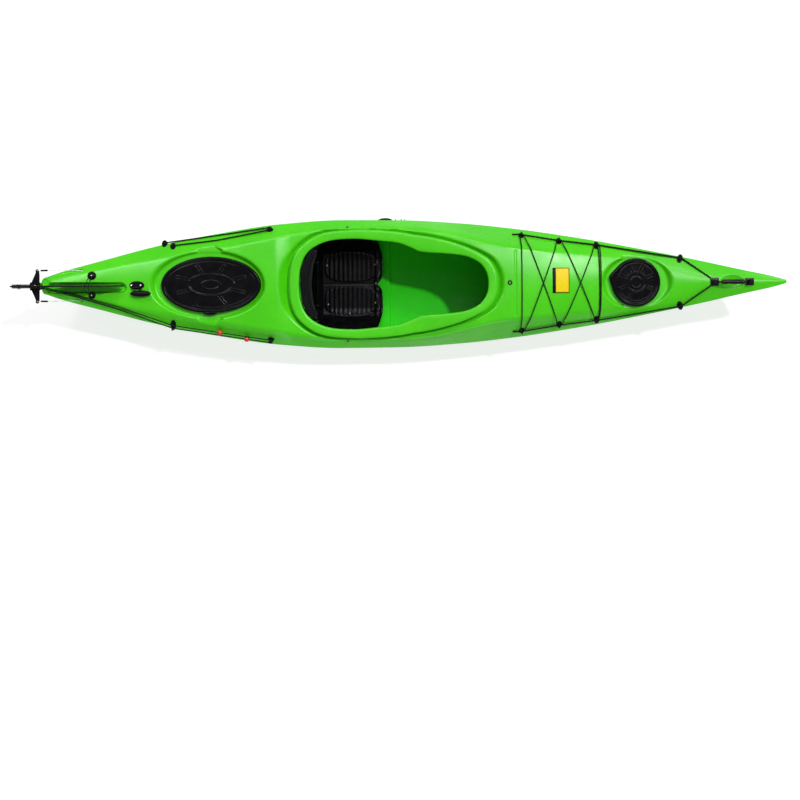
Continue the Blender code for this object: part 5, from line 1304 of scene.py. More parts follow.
@dataclass(frozen=True)
class Cover:
    """A moulded hatch cover: rolled edge, raised line, central ring and ribs that fan out in pairs."""

    name: str
    node: str
    body: str
    hatch: Hatch
    boss: Pair
    hub: float
    reach: float
    dots: Table = ()
    tabs: tuple[Point, ...] = ()
    beak: Pair = (0.0, 0.0)
    ribs: int = 8
    height: float = 0.024
    dish: float = 0.0062
    crown: float = 0.0026
    blunt: float = 0.07
    around: int = 384
    line_inset: float = 0.028
    rib_half: float = 0.0065
    ring_bead: Pair = (0.0034, 0.0026)
    hub_bead: Pair = (0.0022, 0.0024)
    line_bead: Pair = (0.0018, 0.0017)
    rib_bead: Pair = (0.003, 0.0016)
    dot_bead: Pair = (0.0016, 0.0028)
    tab_size: Point = (0.036, 0.0105, 0.0055)
    wall: float = 0.0022

    def swell(self, angle: Array) -> Array:
        """How far the edge runs out beyond the oval: the flap that a thumb lifts.

        Args:
            angle: the ways from the cover's middle.

        Returns:
            The lengths.
        """
        way, out = self.beak
        if not out:
            return np.zeros(angle.shape)
        radius = self.hatch.half_length
        half = math.acos(radius / (radius + out))
        off = np.abs((angle - math.radians(way) + math.pi) % (2 * math.pi) - math.pi)
        blunt = np.sqrt(off**2 + self.blunt**2)
        return np.where(blunt < half, radius / np.cos(half - np.minimum(blunt, half)) - radius, 0.0)

    def levels(self) -> list[Pair]:
        """The rolled edge's profile, as inset and height over the seat's floor."""
        top = self.height
        return [
            (0.006, 0.0012), (0.0025, 0.0012), (0.0008, 0.002), (0.0, 0.0045), (0.0, 0.008), (0.0004, top - 0.0085),
            (0.0015, top - 0.0045), (0.0035, top - 0.002), (0.0065, top - 0.0005), (0.01, top), (0.0135, top - 0.0008),
            (0.016, top - 0.003), (0.018, top - 0.0052), (0.021, top - self.dish),
        ]

    def face(self, x: Array, y: Array, share: float) -> Array:
        """The height of the cover's face inside the rolled edge.

        Args:
            x: the places along, from the cover's middle.
            y: the places across.
            share: 0 at the rolled edge and 1 at the middle.

        Returns:
            The heights over the seat's floor.
        """
        z = self.height - self.dish + self.crown * smooth_step(share * 1.2)
        ring = np.hypot(x / self.boss[0], y / self.boss[1])
        scale = min(self.boss)
        z = z + bead((ring - 1) * scale, *self.ring_bead)
        z = z - 0.002 * smooth_step((0.93 - ring) * scale / 0.005)
        z = z + bead((ring - self.hub) * scale, *self.hub_bead)
        long, wide = (half - self.line_inset for half in (self.hatch.half_length, self.hatch.half_width))
        z = z + bead((np.hypot(x / long, y / wide) - 1) * wide, *self.line_bead)
        for k in range(self.ribs):
            angle = 2 * math.pi * (k + 0.5) / self.ribs
            turn = np.array([math.cos(angle) * self.hatch.half_length, math.sin(angle) * self.hatch.half_width])
            turn /= np.linalg.norm(turn)
            along = x * turn[0] + y * turn[1]
            beside = np.abs(x * turn[1] - y * turn[0])
            start = 1 / math.hypot(turn[0] / self.boss[0], turn[1] / self.boss[1])
            end = self.reach / math.hypot(turn[0] / self.hatch.half_length, turn[1] / self.hatch.half_width)
            off = np.abs(np.maximum(beside - self.rib_half, along - end))
            z = z + np.where(along > start, bead(off, *self.rib_bead), 0.0)
        for dot_x, dot_y in self.dots:
            z = z + bead(np.hypot(x - dot_x, y - dot_y), *self.dot_bead)
        return z

    def build(self, material: bpy.types.Material) -> None:
        """Builds the cover and its tabs.

        Args:
            material: the cover's finish.
        """
        angle = np.linspace(0, 2 * math.pi, self.around + 1)
        more = self.swell(angle)
        a, b = self.hatch.half_length + more, self.hatch.half_width + more
        rows = []
        for inset, z in self.levels():
            edge = (a - inset) * np.cos(angle), (b - inset) * np.sin(angle), np.full(angle.shape, z)
            rows.append(np.stack(edge, axis=1))
        last = self.levels()[-1][0]
        for share in np.linspace(0, 1, 56)[1:]:
            x, y = (a - last) * (1 - share) * np.cos(angle), (b - last) * (1 - share) * np.sin(angle)
            rows.append(np.stack([x, y, self.face(x, y, share)], axis=1))
        points = np.stack(rows) + np.array([self.hatch.x, 0.0, self.hatch.floor_z])
        points[:, -1] = points[:, 0]
        bm = sheet_of(points)
        bmesh.ops.recalc_face_normals(bm, faces=bm.faces)
        face_up(bm)
        cover = piece(self.name, bm, material, self.body, (self.node,), crease=70.0, outward=False)
        thicken(cover, self.wall)
        for k, (x, y, turn) in enumerate(self.tabs):
            self.tab(k, x, y, turn, material)

    def tab(self, k: int, x: float, y: float, turn: float, material: bpy.types.Material) -> None:
        """A pull tab on the rolled edge.

        Args:
            k: its number.
            x: its place along.
            y: its place across.
            turn: the way it points, in degrees.
            material: its finish.
        """
        bm = bmesh.new()
        bmesh.ops.create_uvsphere(bm, u_segments=28, v_segments=14, radius=1.0)
        for vert in bm.verts:
            vert.co.x *= 1.0 - 0.25 * (vert.co.y > 0) * vert.co.y
        bmesh.ops.scale(bm, vec=self.tab_size, verts=bm.verts)
        spin = Matrix.Rotation(math.radians(turn), 4, "Z")
        top = self.hatch.floor_z + self.height
        bmesh.ops.transform(bm, matrix=Matrix.Translation((x, y, top - 0.006)) @ spin, verts=bm.verts)
        piece(f"{self.name}_tab_{k}", bm, material, self.body)


# Seat


@dataclass(frozen=True)
class Seat:
    """The moulded seat: two ribbed halves, sides up to the rim, a dished back edge, a lip in front, and a black sheet
    behind it that is painted shadow on the floor.
    """

    rib_start: float = -0.4675
    rib_pitch: float = 0.0245
    rib_height: float = 0.0062
    rib_oval: Four = (-0.325, 0.145, 0.088, 0.08)
    back: Point = (-0.467, 0.031, 0.056)
    lip: Four = (-0.205, 0.04, 0.013, 0.005)
    welt: Pair = (0.0022, 0.003)
    groove: Pair = (0.0025, 0.0035)
    wall: float = 0.004
    spread: Line = Line((
        (0.0, 0.0), (0.5, 0.122), (0.62, 0.15), (0.7, 0.17), (0.76, 0.182), (0.84, 0.2), (0.93, 0.2275), (0.98, 0.2385),
        (1.0, 0.2445),
    ))
    rise: Line = Line((
        (0.0, 0.046), (0.122, 0.046), (0.15, 0.051), (0.17, 0.064), (0.182, 0.081), (0.2, 0.108), (0.2275, 0.15),
        (0.2385, 0.178), (0.2445, 0.184),
    ))
    aft: Line = Line(((0.0, -0.498), (0.5, -0.498), (0.74, -0.499), (0.84, -0.512), (0.93, -0.519), (1.0, -0.5)))
    fore: Line = Line((
        (0.0, -0.184), (0.06, -0.172), (0.16, -0.161), (0.35, -0.158), (0.55, -0.158), (0.68, -0.163), (0.84, -0.174),
        (1.0, -0.192),
    ))
    # A black sheet from the seat's back edge down to the floor, as (x, z), and its half width: painted shadow of the
    # seat.
    shade_sheet: Table = ((-0.4985, 0.1), (-0.506, 0.097), (-0.512, 0.084), (-0.519, 0.06), (-0.531, 0.036), (-0.55, 0.021),
                   (-0.572, 0.014))
    shade_sheet_half: float = 0.162
    blocks: tuple[tuple[str, Point, Point], ...] = (
        ("runner", (0.2, 0.016, 0.037), (-0.32, 0.06, 0.0245)), ("ear", (0.055, 0.006, 0.022), (-0.5175, 0.113, 0.103)),
    )
    bolts: Table = (
        (-0.452, 0.098), (-0.446, -0.108), (-0.332, -0.155), (-0.194, 0.002), (-0.2, 0.102), (-0.196, -0.1),
    )

    def height(self, x: Array, y: Array) -> Array:
        """The height of the seat's face.

        Args:
            x: the places along.
            y: the places across.

        Returns:
            The heights.
        """
        y = np.abs(y)
        z = self.rise.at(y)
        pan = 1 - smooth_step((y - 0.155) / 0.05)
        start, reach, high = self.back
        z = z + high * np.clip((start - x) / reach, 0.0, 1.1) ** 1.5 * pan
        start, reach, roll, high = self.lip
        front = np.clip((x - start) / reach, 0.0, 1.0)
        z = z + (roll * np.sin(math.pi * front) + high * front) * pan
        middle_x, half_x, middle_y, half_y = self.rib_oval
        oval = (np.abs((x - middle_x) / half_x) ** 2.8 + np.abs((y - middle_y) / half_y) ** 2.8) ** (1 / 2.8)
        wave = np.abs(np.sin(math.pi * (x - self.rib_start) / self.rib_pitch)) ** 0.6
        z = z + self.rib_height * wave * smooth_step((1 - oval) / 0.09)
        z = z + bead((oval - 1.09) * half_y, *self.welt) * smooth_step((x + 0.26) / 0.05) * (y > 0.02)
        return z - bead(y, *self.groove)

    def build(self, wardrobe: Wardrobe) -> None:
        """Builds the shell, the black sheet behind it that is painted shadow, its runners, the ears for the back band's
        rod and the screws.

        Args:
            wardrobe: the finishes.
        """
        v = np.linspace(-1, 1, 171)
        u = np.linspace(0, 1, 170)
        aft, fore = self.aft.at(np.abs(v)), self.fore.at(np.abs(v))
        along = aft[None] + (fore - aft)[None] * u[:, None]
        across = np.repeat((self.spread.at(np.abs(v)) * np.sign(v))[None], len(u), axis=0)
        bm = sheet_of(np.stack([along, across, self.height(along, across)], axis=2))
        self.panel("seat_shell", bm, wardrobe, ("seat_pan",))
        # The black sheet behind the seat, sloping to the floor: painted shadow of the seat.
        y = np.linspace(-1, 1, 41) * self.shade_sheet_half
        rows = []
        for x, z in self.shade_sheet:
            rise = (0.1 - z) / 0.086 * 0.018 * (y / self.shade_sheet_half) ** 2
            rows.append(np.stack([np.full(y.shape, x), y, z + rise], axis=1))
        self.panel("seat_shade_sheet", sheet_of(np.stack(rows)), wardrobe, ())
        for side, name in ((-1, "starboard"), (1, "port")):
            for part, size, (place_x, place_y, place_z) in self.blocks:
                bm = block(size, Matrix.Translation((place_x, side * place_y, place_z)), 0.002)
                piece(f"seat_{part}_{name}", bm, wardrobe.seat)
        for k, (x, y) in enumerate(self.bolts):
            z = float(self.height(np.array([x]), np.array([y]))[0])
            Head(f"seat_screw_{k}", (x, y, z), 0.006).build(wardrobe.screw, Slot.BLACK)

    def panel(self, name: str, bm: bmesh.types.BMesh, wardrobe: Wardrobe, replaces: tuple[str, ...]) -> None:
        """Turns a sheet into a moulded wall with its face up.

        Args:
            name: the piece's name.
            bm: the sheet.
            wardrobe: the finishes.
            replaces: the CAD nodes that it stands for.
        """
        face_up(bm)
        panel = piece(name, bm, wardrobe.seat, replaces=replaces, outward=False, crease=70.0)
        thicken(panel, self.wall)
        bevel = panel.modifiers.new("edge", "BEVEL")
        bevel.width, bevel.segments, bevel.limit_method, bevel.angle_limit = 0.0012, 2, "ANGLE", math.radians(60)


@dataclass(frozen=True)
class Backrest:
    """The padded back band: cloth drawn over foam, with a sewn channel across and webbing lugs."""

    half_width: float = 0.178
    half_height: float = 0.082
    middle_z: float = 0.222
    thickness: float = 0.04
    aft: Line = Line(((0.0, -0.568), (0.095, -0.556), (0.14, -0.537), (0.178, -0.508)))
    hinge: Point = (-0.535, 0.0, 0.104)
    voxel: float = 0.005
    pressure: float = 4.0
    frames: int = 20
    cap: float = 0.006
    channel: Pair = (0.0035, 0.005)

    def form(self) -> bmesh.types.BMesh:
        """The band before it is blown up: a closed loft that draws in at both ends."""
        rows = []
        for share in np.linspace(-1, 1, 41):
            y = self.half_width * share * 0.985
            thick = self.thickness * (1 - 0.5 * abs(share) ** 3)
            half = self.half_height * (1 - 0.3 * abs(share) ** 3.5)
            if abs(share) > 0.999:
                thick, half = thick * 0.4, half * 0.75
            x = float(self.aft.at(np.array([abs(y)]))[0]) + self.thickness / 2 + 0.002
            a = np.linspace(0, 2 * math.pi, 33)
            c, q = np.cos(a), np.sin(a)
            rows.append(np.stack([
                x + thick / 2 * np.sign(c) * np.abs(c) ** 0.7, np.full(a.shape, y),
                self.middle_z + half * np.sign(q) * np.abs(q) ** 0.55,
            ], axis=1))
        points = np.stack(rows)
        points[:, -1] = points[:, 0]
        first, last = (np.repeat(row.mean(axis=0)[None], row.shape[0], axis=0) for row in (points[0], points[-1]))
        return sheet_of(np.concatenate([first[None], points, last[None]]))

    def build(self, wardrobe: Wardrobe) -> None:
        """Builds the band, its cloth and its lugs.

        Args:
            wardrobe: the finishes.
        """
        cloth = wardrobe.slots[Slot.PADDING]
        band = piece("back_band", self.form(), cloth, "back_band", ("backrest",))
        self.blow(band)
        for polygon in band.data.polygons:
            polygon.use_smooth = True
        finer = band.modifiers.new("finer", "SUBSURF")
        finer.levels = finer.render_levels = 1
        for side in (-1, 1):
            place = (self.hinge[0], side * 0.1035, self.hinge[2] + 0.021)
            bm = block((0.018, 0.006, 0.062), Matrix.Translation(place), 0.002)
            name = "port" if side > 0 else "starboard"
            piece(f"back_lug_{name}", bm, wardrobe.slots[Slot.BLACK], "back_band")

    def blow(self, band: bpy.types.Object) -> None:
        """Blows the cloth up round the foam, caps how far it moves and keeps the result.

        Args:
            band: the band's object.
        """
        remesh = band.modifiers.new("remesh", "REMESH")
        remesh.mode, remesh.voxel_size = "VOXEL", self.voxel
        self.keep(band)
        start = np.array([v.co for v in band.data.vertices])
        cloth = band.modifiers.new("cloth", "CLOTH")
        cloth.settings.use_pressure = True
        cloth.settings.uniform_pressure_force = self.pressure
        cloth.settings.effector_weights.gravity = 0.0
        for number in range(1, self.frames + 1):
            bpy.context.scene.frame_set(number)
        self.keep(band)
        moved = np.array([v.co for v in band.data.vertices]) - start
        length = np.linalg.norm(moved, axis=1, keepdims=True) + 1e-9
        final = start + moved / length * np.minimum(length, self.cap)
        seam = bead(final[:, 2] - self.middle_z, *self.channel)
        facing = np.sign(final[:, 0] - self.aft.at(np.abs(final[:, 1])) - self.thickness / 2)
        final[:, 0] -= facing * seam
        for vert, place in zip(band.data.vertices, final):
            vert.co = place
        bpy.context.scene.frame_set(1)

    def keep(self, band: bpy.types.Object) -> None:
        """Replaces the band's mesh by what its modifiers make of it.

        Args:
            band: the band's object.
        """
        graph = bpy.context.evaluated_depsgraph_get()
        mesh = bpy.data.meshes.new_from_object(band.evaluated_get(graph))
        band.modifiers.clear()
        band.data = mesh


# Cords


class Lay(Enum):
    """How a line is made."""

    BRAID = "braid"
    TWIST = "twist"
    WIRE = "wire"


@dataclass(frozen=True)
class Rigging:
    """A line on deck, swept along the centre line of its CAD tube.

    Slack lets its starboard leg stand off near the top, and a steered line, which ends at the rudder's head, rides on
    no body and has its place baked into its mesh.
    """

    node: str
    radius: float
    lay: Lay = Lay.BRAID
    step: float = 0.004
    pitch: float = 0.02
    slack: float = 0.0
    slack_z: Pair = (0.315, 0.05)
    slack_y: Pair = (0.002, 0.008)
    steered: bool = False

    def rings(self) -> list[Vector]:
        """Walks the CAD tube ring by ring from one of its end caps.

        Returns:
            The middle of each ring.
        """
        flat = merged_copy(self.node, 2.0)
        caps = sorted((f for f in flat.faces if len(f.verts) > 4), key=lambda f: f.calc_area())
        ends = [v.co.copy() for v in caps[0].verts] if caps else []
        flat.free()
        bm = merged_copy(self.node, 0.0)
        ring = {v for v in bm.verts if any((v.co - end).length < 1e-5 for end in ends)}
        seen, middles = set(), []
        while ring:
            seen |= ring
            middles.append(sum((v.co for v in ring), Vector()) / len(ring))
            ring = {e.other_vert(v) for v in ring for e in v.link_edges} - seen
        bm.free()
        return middles

    def path(self) -> Array:
        """The centre line with even steps.

        Returns:
            Points x 3.
        """
        points = np.array([tuple(p) for p in self.rings()])
        keep = np.concatenate([[True], np.linalg.norm(np.diff(points, axis=0), axis=1) > 5e-4])
        points = points[keep]
        run = lengths_along(points)
        where = np.linspace(0, run[-1], max(8, round(run[-1] / self.step)))
        fine = relaxed(np.stack([np.interp(where, run, points[:, k]) for k in range(3)], axis=1), 2)
        (low, grows), (middle, fades) = self.slack_z, self.slack_y
        high = smooth_step((fine[:, 2] - low) / grows)
        fine[:, 1] -= self.slack * high * smooth_step(0.5 - (fine[:, 1] + middle) / fades)
        return fine

    def build(self, wardrobe: Wardrobe, slot: Slot) -> None:
        """Sweeps the line and closes its ends.

        Args:
            wardrobe: the finishes.
            slot: the slot that it takes its finish from.
        """
        path = self.path()
        sides = 16 if self.lay is Lay.TWIST else 12
        along = np.gradient(path, axis=0)
        along /= np.linalg.norm(along, axis=1, keepdims=True)
        normal = np.cross(along[0], (0.0, 1.0, 0.0) if abs(along[0][2]) > 0.9 else (0.0, 0.0, 1.0))
        run = lengths_along(path)
        angle = np.linspace(0, 2 * math.pi, sides + 1)
        rows = []
        for place, way, length in zip(path, along, run):
            normal = normal - way * float(normal @ way)
            normal = normal / np.linalg.norm(normal)
            other = np.cross(way, normal)
            radius = np.full(angle.shape, self.radius)
            if self.lay is Lay.TWIST:
                lobe = np.abs(np.cos(angle - 2 * math.pi * length / self.pitch))
                radius = self.radius * (0.4 + 0.62 * lobe**0.8)
            turned = np.outer(radius * np.cos(angle), normal) + np.outer(radius * np.sin(angle), other)
            rows.append(place + turned)
        points = np.stack(rows)
        points[:, -1] = points[:, 0]
        ends = [np.repeat(path[k][None] + sign * along[k] * self.radius * 0.4, sides + 1, axis=0)[None]
                for k, sign in ((0, -1), (-1, 1))]
        bm = sheet_of(np.concatenate([ends[0], points, ends[1]]), uv=True)
        body = None if self.steered else BODY_OF[self.node]
        thing = piece(f"{self.node}_line", bm, wardrobe.slots[slot], body, (self.node,), crease=80.0)
        if self.steered:
            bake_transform(thing)


# Small fittings


@dataclass(frozen=True)
class Fitting:
    """A CAD fitting whose corners are rounded in a merged copy."""

    node: str
    edge: float = 0.0009
    crease: float = 32.0
    swell: Point = (1.0, 1.0, 1.0)

    def build(self, wardrobe: Wardrobe, slot: Slot) -> None:
        """Builds the rounded copy.

        Args:
            wardrobe: the finishes.
            slot: the slot that it takes its finish from.
        """
        bm = merged_copy(self.node, 2.0)
        low, high = (Vector(corner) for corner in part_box(self.node))
        foot = Vector(((low.x + high.x) / 2, (low.y + high.y) / 2, low.z))
        bmesh.ops.scale(bm, vec=self.swell, space=Matrix.Translation(-foot), verts=bm.verts)
        material, body = wardrobe.slots[slot], BODY_OF[self.node]
        thing = piece(f"{self.node}_part", bm, material, body, (self.node,), self.crease, False)
        bevel = thing.modifiers.new("edge", "BEVEL")
        bevel.width, bevel.segments, bevel.profile = self.edge, 2, 0.5
        bevel.limit_method, bevel.angle_limit = "ANGLE", math.radians(self.crease)
        bevel.harden_normals = False


@dataclass(frozen=True)
class Head:
    """A screw's button head with a round socket, and the ring that it may sit in."""

    name: str
    place: Point
    radius: float
    toward: Point = (0.0, 0.0, 1.0)
    profile: Table = (
        (0.0, 0.2), (0.3, 0.22), (0.36, 0.56), (0.68, 0.47), (0.92, 0.24), (1.0, 0.06), (1.0, -0.35), (0.0, -0.35),
    )

    def build(self, material: bpy.types.Material, slot: Slot, replaces: tuple[str, ...] = ()) -> None:
        """Turns the profile about the head's axis.

        Args:
            material: its finish.
            slot: the record's slot it stands for; not used.
            replaces: the CAD nodes that it stands for.
        """
        angle = np.linspace(0, 2 * math.pi, 29)
        turned = [(r * np.cos(angle), r * np.sin(angle), np.full(angle.shape, z)) for r, z in self.profile]
        points = np.stack([np.stack(row, axis=1) for row in turned]) * self.radius
        points[:, -1] = points[:, 0]
        bm = sheet_of(points)
        turn = Vector((0.0, 0.0, 1.0)).rotation_difference(Vector(self.toward)).to_matrix().to_4x4()
        bmesh.ops.transform(bm, matrix=Matrix.Translation(self.place) @ turn, verts=bm.verts)
        piece(self.name, bm, material, replaces=replaces)


RING: Table = ((0.5, -0.3), (0.5, 0.3), (0.58, 0.38), (0.8, 0.36), (0.95, 0.22), (1.0, 0.0), (1.0, -0.3), (0.5, -0.3))
HEADS: tuple[tuple[str, Point, float, Point], ...] = (
    ("hold_down_screw_port", (-1.613, 0.05, 0.3058), 0.0038, (0.0, 0.0, 1.0)),
    ("hold_down_screw_starboard", (-1.612, -0.048, 0.3058), 0.0038, (0.0, 0.0, 1.0)),
    ("toggle_screw_aft", (-1.413, 0.0, 0.3043), 0.0045, (0.0, 0.0, 1.0)),
    ("toggle_screw_fore", (-1.367, 0.0, 0.3043), 0.0045, (0.0, 0.0, 1.0)),
)


@dataclass(frozen=True)
class Handle:
    """The bow handle: a bent bar that carries a thick moulded grip."""

    start: Point = (1.5082, 0.0, 0.3354)
    along: Point = (0.99843, 0.0, 0.056)
    length: float = 0.1723
    arch: Table = ((-0.005, 0.0), (0.0105, 0.0), (0.0135, 0.0025), (0.019, 0.008), (0.032, 0.0135), (0.055, 0.0165))
    bar: float = 0.004
    grip: float = 0.0122
    ends: Pair = (0.026, 0.034)
    grooves: Point = (0.0007, 0.0052, 0.055)
    flatness: float = 0.78
    pads: tuple[tuple[str, Point, Point], ...] = (
        ("aft", (1.509, 0.0, 0.3209), (0.041, 0.041, 0.017)),
        ("fore", (1.681, 0.0, 0.3307), (0.04, 0.037, 0.017)),
    )

    def build(self, material: bpy.types.Material) -> None:
        """Sweeps the bar and its grip in one skin, and sets the pads under its two ends.

        Args:
            material: its finish.
        """
        half = [*self.arch, (self.length / 2, 0.018)]
        table = np.array(half + [(self.length - t, rise) for t, rise in half[-2::-1]])
        run = lengths_along(table)
        where = np.linspace(0, run[-1], 120)
        flat = relaxed(np.stack([np.interp(where, run, table[:, k]) for k in (0, 1)], axis=1), 3)
        way = np.gradient(flat, axis=0)
        way /= np.linalg.norm(way, axis=1, keepdims=True)
        inside = np.minimum(flat[:, 0], self.length - flat[:, 0])
        share = smooth_step((inside - self.ends[0]) / (self.ends[1] - self.ends[0]))
        deep, pitch, until = self.grooves
        radius = self.bar + (self.grip - self.bar - deep * np.abs(np.sin(inside / pitch)) * (inside < until)) * share
        ahead, up = np.array(self.along), np.array((-self.along[2], 0.0, self.along[0]))
        middle = np.array(self.start) + flat[:, :1] * ahead + flat[:, 1:] * up
        normal = -way[:, 1:] * ahead + way[:, :1] * up
        angle = np.linspace(0, 2 * math.pi, 29)
        up_share, side_share = np.cos(angle)[None, :, None] * self.flatness, np.sin(angle)[None, :, None]
        across = np.array((0.0, 1.0, 0.0))
        rows = middle[:, None] + radius[:, None, None] * (up_share * normal[:, None] + side_share * across)
        rows[:, -1] = rows[:, 0]
        caps = [np.repeat(middle[k][None, None], len(angle), axis=1) for k in (0, -1)]
        bm = sheet_of(np.concatenate([caps[0], rows, caps[1]]))
        piece("bow_handle_grip", bm, material, BODY_OF["bow_handle"], ("bow_handle",), crease=60.0)
        for name, place, size in self.pads:
            tilt = Matrix.Rotation(-math.asin(self.along[2]), 4, "Y")
            bm = block(size, Matrix.Translation(place) @ tilt, 0.0025, 3)
            piece(f"handle_pad_{name}", bm, material)


@dataclass(frozen=True)
class Plate:
    """The blank yellow plate on the fore deck, on its wider dark base."""

    base: Four = (0.698, 0.783, -0.051, 0.075)
    face: Four = (0.714, 0.7795, -0.047, 0.0715)
    rise: float = 0.0012

    def build(self, wardrobe: Wardrobe) -> None:
        """Builds the plate and its edge.

        Args:
            wardrobe: the finishes.
        """
        for name, box, rise, material in (
            ("deck_plate_base", self.base, self.rise, wardrobe.slots[Slot.BLACK]),
            ("deck_plate", self.face, self.rise + 0.0007, wardrobe.plate),
        ):
            xs, ys = np.linspace(*box[:2], 22), np.linspace(*box[2:], 32)
            across, along = np.meshgrid(ys, xs)
            bm = sheet_of(np.stack([along, across, LINES.deck(along, across) + rise], axis=2))
            bmesh.ops.recalc_face_normals(bm, faces=bm.faces)
            face_up(bm)
            plate = piece(name, bm, material, outward=False, crease=60.0)
            thicken(plate, rise + 0.0005)


@dataclass(frozen=True)
class Balls:
    """The two red pull balls on the lift line."""

    nodes: tuple[str, str] = ("lift_ball_inboard", "lift_ball_outboard")

    def build(self, wardrobe: Wardrobe) -> None:
        """Builds both balls.

        Args:
            wardrobe: the finishes.
        """
        for node in self.nodes:
            low, high = (Vector(corner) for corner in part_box(node))
            size = (high - low) / 2
            bm = bmesh.new()
            bmesh.ops.create_uvsphere(bm, u_segments=40, v_segments=24, radius=1.0)
            bmesh.ops.scale(bm, vec=(size.y, size.y, size.y), verts=bm.verts)
            for vert in bm.verts:
                vert.co.x += 0.12 * vert.co.x * abs(vert.co.x) / size.y
            bmesh.ops.translate(bm, vec=(low + high) / 2, verts=bm.verts)
            piece(f"{node}_bead", bm, wardrobe.slots[Slot.RED], BODY_OF[node], (node,))


# Studio


@dataclass(frozen=True)
class Studio:
    """Floor, light and camera."""

    camera_z: float = 5.4
    lens: float = 45.70
    shift: Pair = (-0.016, -0.1454)
    roll: float = -0.352
    fill: float = 0.3
    suns: tuple[tuple[str, float, Pair, float], ...] = (
        ("key", 1.8, (28.6, 27.5), 3.0), ("rake", 0.7, (0.0, 52.0), 12.0), ("low", 0.85, (20.0, -82.0), 30.0),
    )
    boxes: tuple[tuple[str, Point, Point, float, float, float, bool], ...] = (
        ("softbox_port", (-0.2, 3.1, 3.3), (0.0, 0.0, 0.2), 5.4, 0.8, 2.6, True),
        ("strip_crest", (1.4, 0.96, 3.7), (0.8, 0.1, 0.3), 3.6, 0.36, 34.0, False),
        ("strip_port", (-0.4, 2.3, 3.6), (0.0, 0.1, 0.3), 5.6, 0.3, 26.0, False),
        ("strip_aft", (-2.8, 1.5, 3.6), (-1.4, 0.1, 0.3), 1.5, 0.8, 18.0, False),
    )

    def floor(self) -> None:
        """Lays the floor under the keel."""
        bm = bmesh.new()
        bmesh.ops.create_grid(bm, x_segments=1, y_segments=1, size=30.0)
        mesh = bpy.data.meshes.new("studio_floor")
        bm.to_mesh(mesh)
        bm.free()
        mesh.materials.append(Paint().make())
        ground = bpy.data.objects.new("studio_floor", mesh)
        ground.location.z = -0.0005
        bpy.context.scene.collection.objects.link(ground)

    def lamps(self) -> None:
        """Sets a soft key light, a wide softbox, and narrow boxes that only show in the gloss."""
        for name, energy, tilt, width in self.suns:
            sun = bpy.data.lights.new(name, "SUN")
            sun.energy, sun.angle = energy, math.radians(width)
            lamp = bpy.data.objects.new(name, sun)
            tilt_x, tilt_y = (math.radians(a) for a in tilt)
            toward = Vector((math.tan(tilt_x), math.tan(tilt_y), 1.0))
            lamp.rotation_euler = toward.to_track_quat("Z", "Y").to_euler()
            bpy.context.scene.collection.objects.link(lamp)
        for name, place, aim, long, wide, radiance, lights in self.boxes:
            light = bpy.data.lights.new(name, "AREA")
            light.shape, light.size, light.size_y = "RECTANGLE", long, wide
            light.energy = radiance * math.pi * long * wide
            box = bpy.data.objects.new(name, light)
            away = (Vector(place) - Vector(aim)).normalized()
            along = Vector((1.0, 0.0, 0.0)) - away * away.x
            along.normalize()
            frame_of = Matrix((along, away.cross(along), away)).transposed()
            box.matrix_world = Matrix.Translation(place) @ frame_of.to_4x4()
            box.visible_camera = False
            box.visible_diffuse = lights
            bpy.context.scene.collection.objects.link(box)

    def surround(self) -> None:
        """Makes the world white to the camera and a plain level of light to the object."""
        world = bpy.data.worlds.new("studio")
        bpy.context.scene.world = world
        world.use_nodes = True
        tree = world.node_tree
        back = tree.nodes["Background"]
        back.inputs["Color"].default_value = (1.0, 1.0, 1.0, 1.0)
        path = tree.nodes.new("ShaderNodeLightPath").outputs
        seen = path["Is Camera Ray"]
        for name in ("Is Glossy Ray", "Is Transmission Ray"):
            both = tree.nodes.new("ShaderNodeMath")
            both.operation = "MAXIMUM"
            tree.links.new(seen, both.inputs[0])
            tree.links.new(path[name], both.inputs[1])
            seen = both.outputs[0]
        level = tree.nodes.new("ShaderNodeMapRange")
        level.inputs["To Min"].default_value = self.fill
        level.inputs["To Max"].default_value = 1.0
        tree.links.new(seen, level.inputs["Value"])
        tree.links.new(level.outputs[0], back.inputs["Strength"])

    def camera(self) -> None:
        """Sets the camera of the photograph's plan view."""
        data = bpy.data.cameras.new("camera")
        data.lens, data.sensor_width = self.lens, 36.0
        data.shift_x, data.shift_y = self.shift
        eye = bpy.data.objects.new("camera", data)
        eye.location = (0.0, 0.0, self.camera_z)
        eye.rotation_euler = (0.0, 0.0, math.radians(self.roll))
        bpy.context.scene.collection.objects.link(eye)
        bpy.context.scene.camera = eye

    def build(self) -> None:
        """Builds the studio."""
        bpy.context.scene.view_settings.view_transform = "Standard"
        self.camera()
        self.floor()
        self.surround()
        self.lamps()


# The whole boat


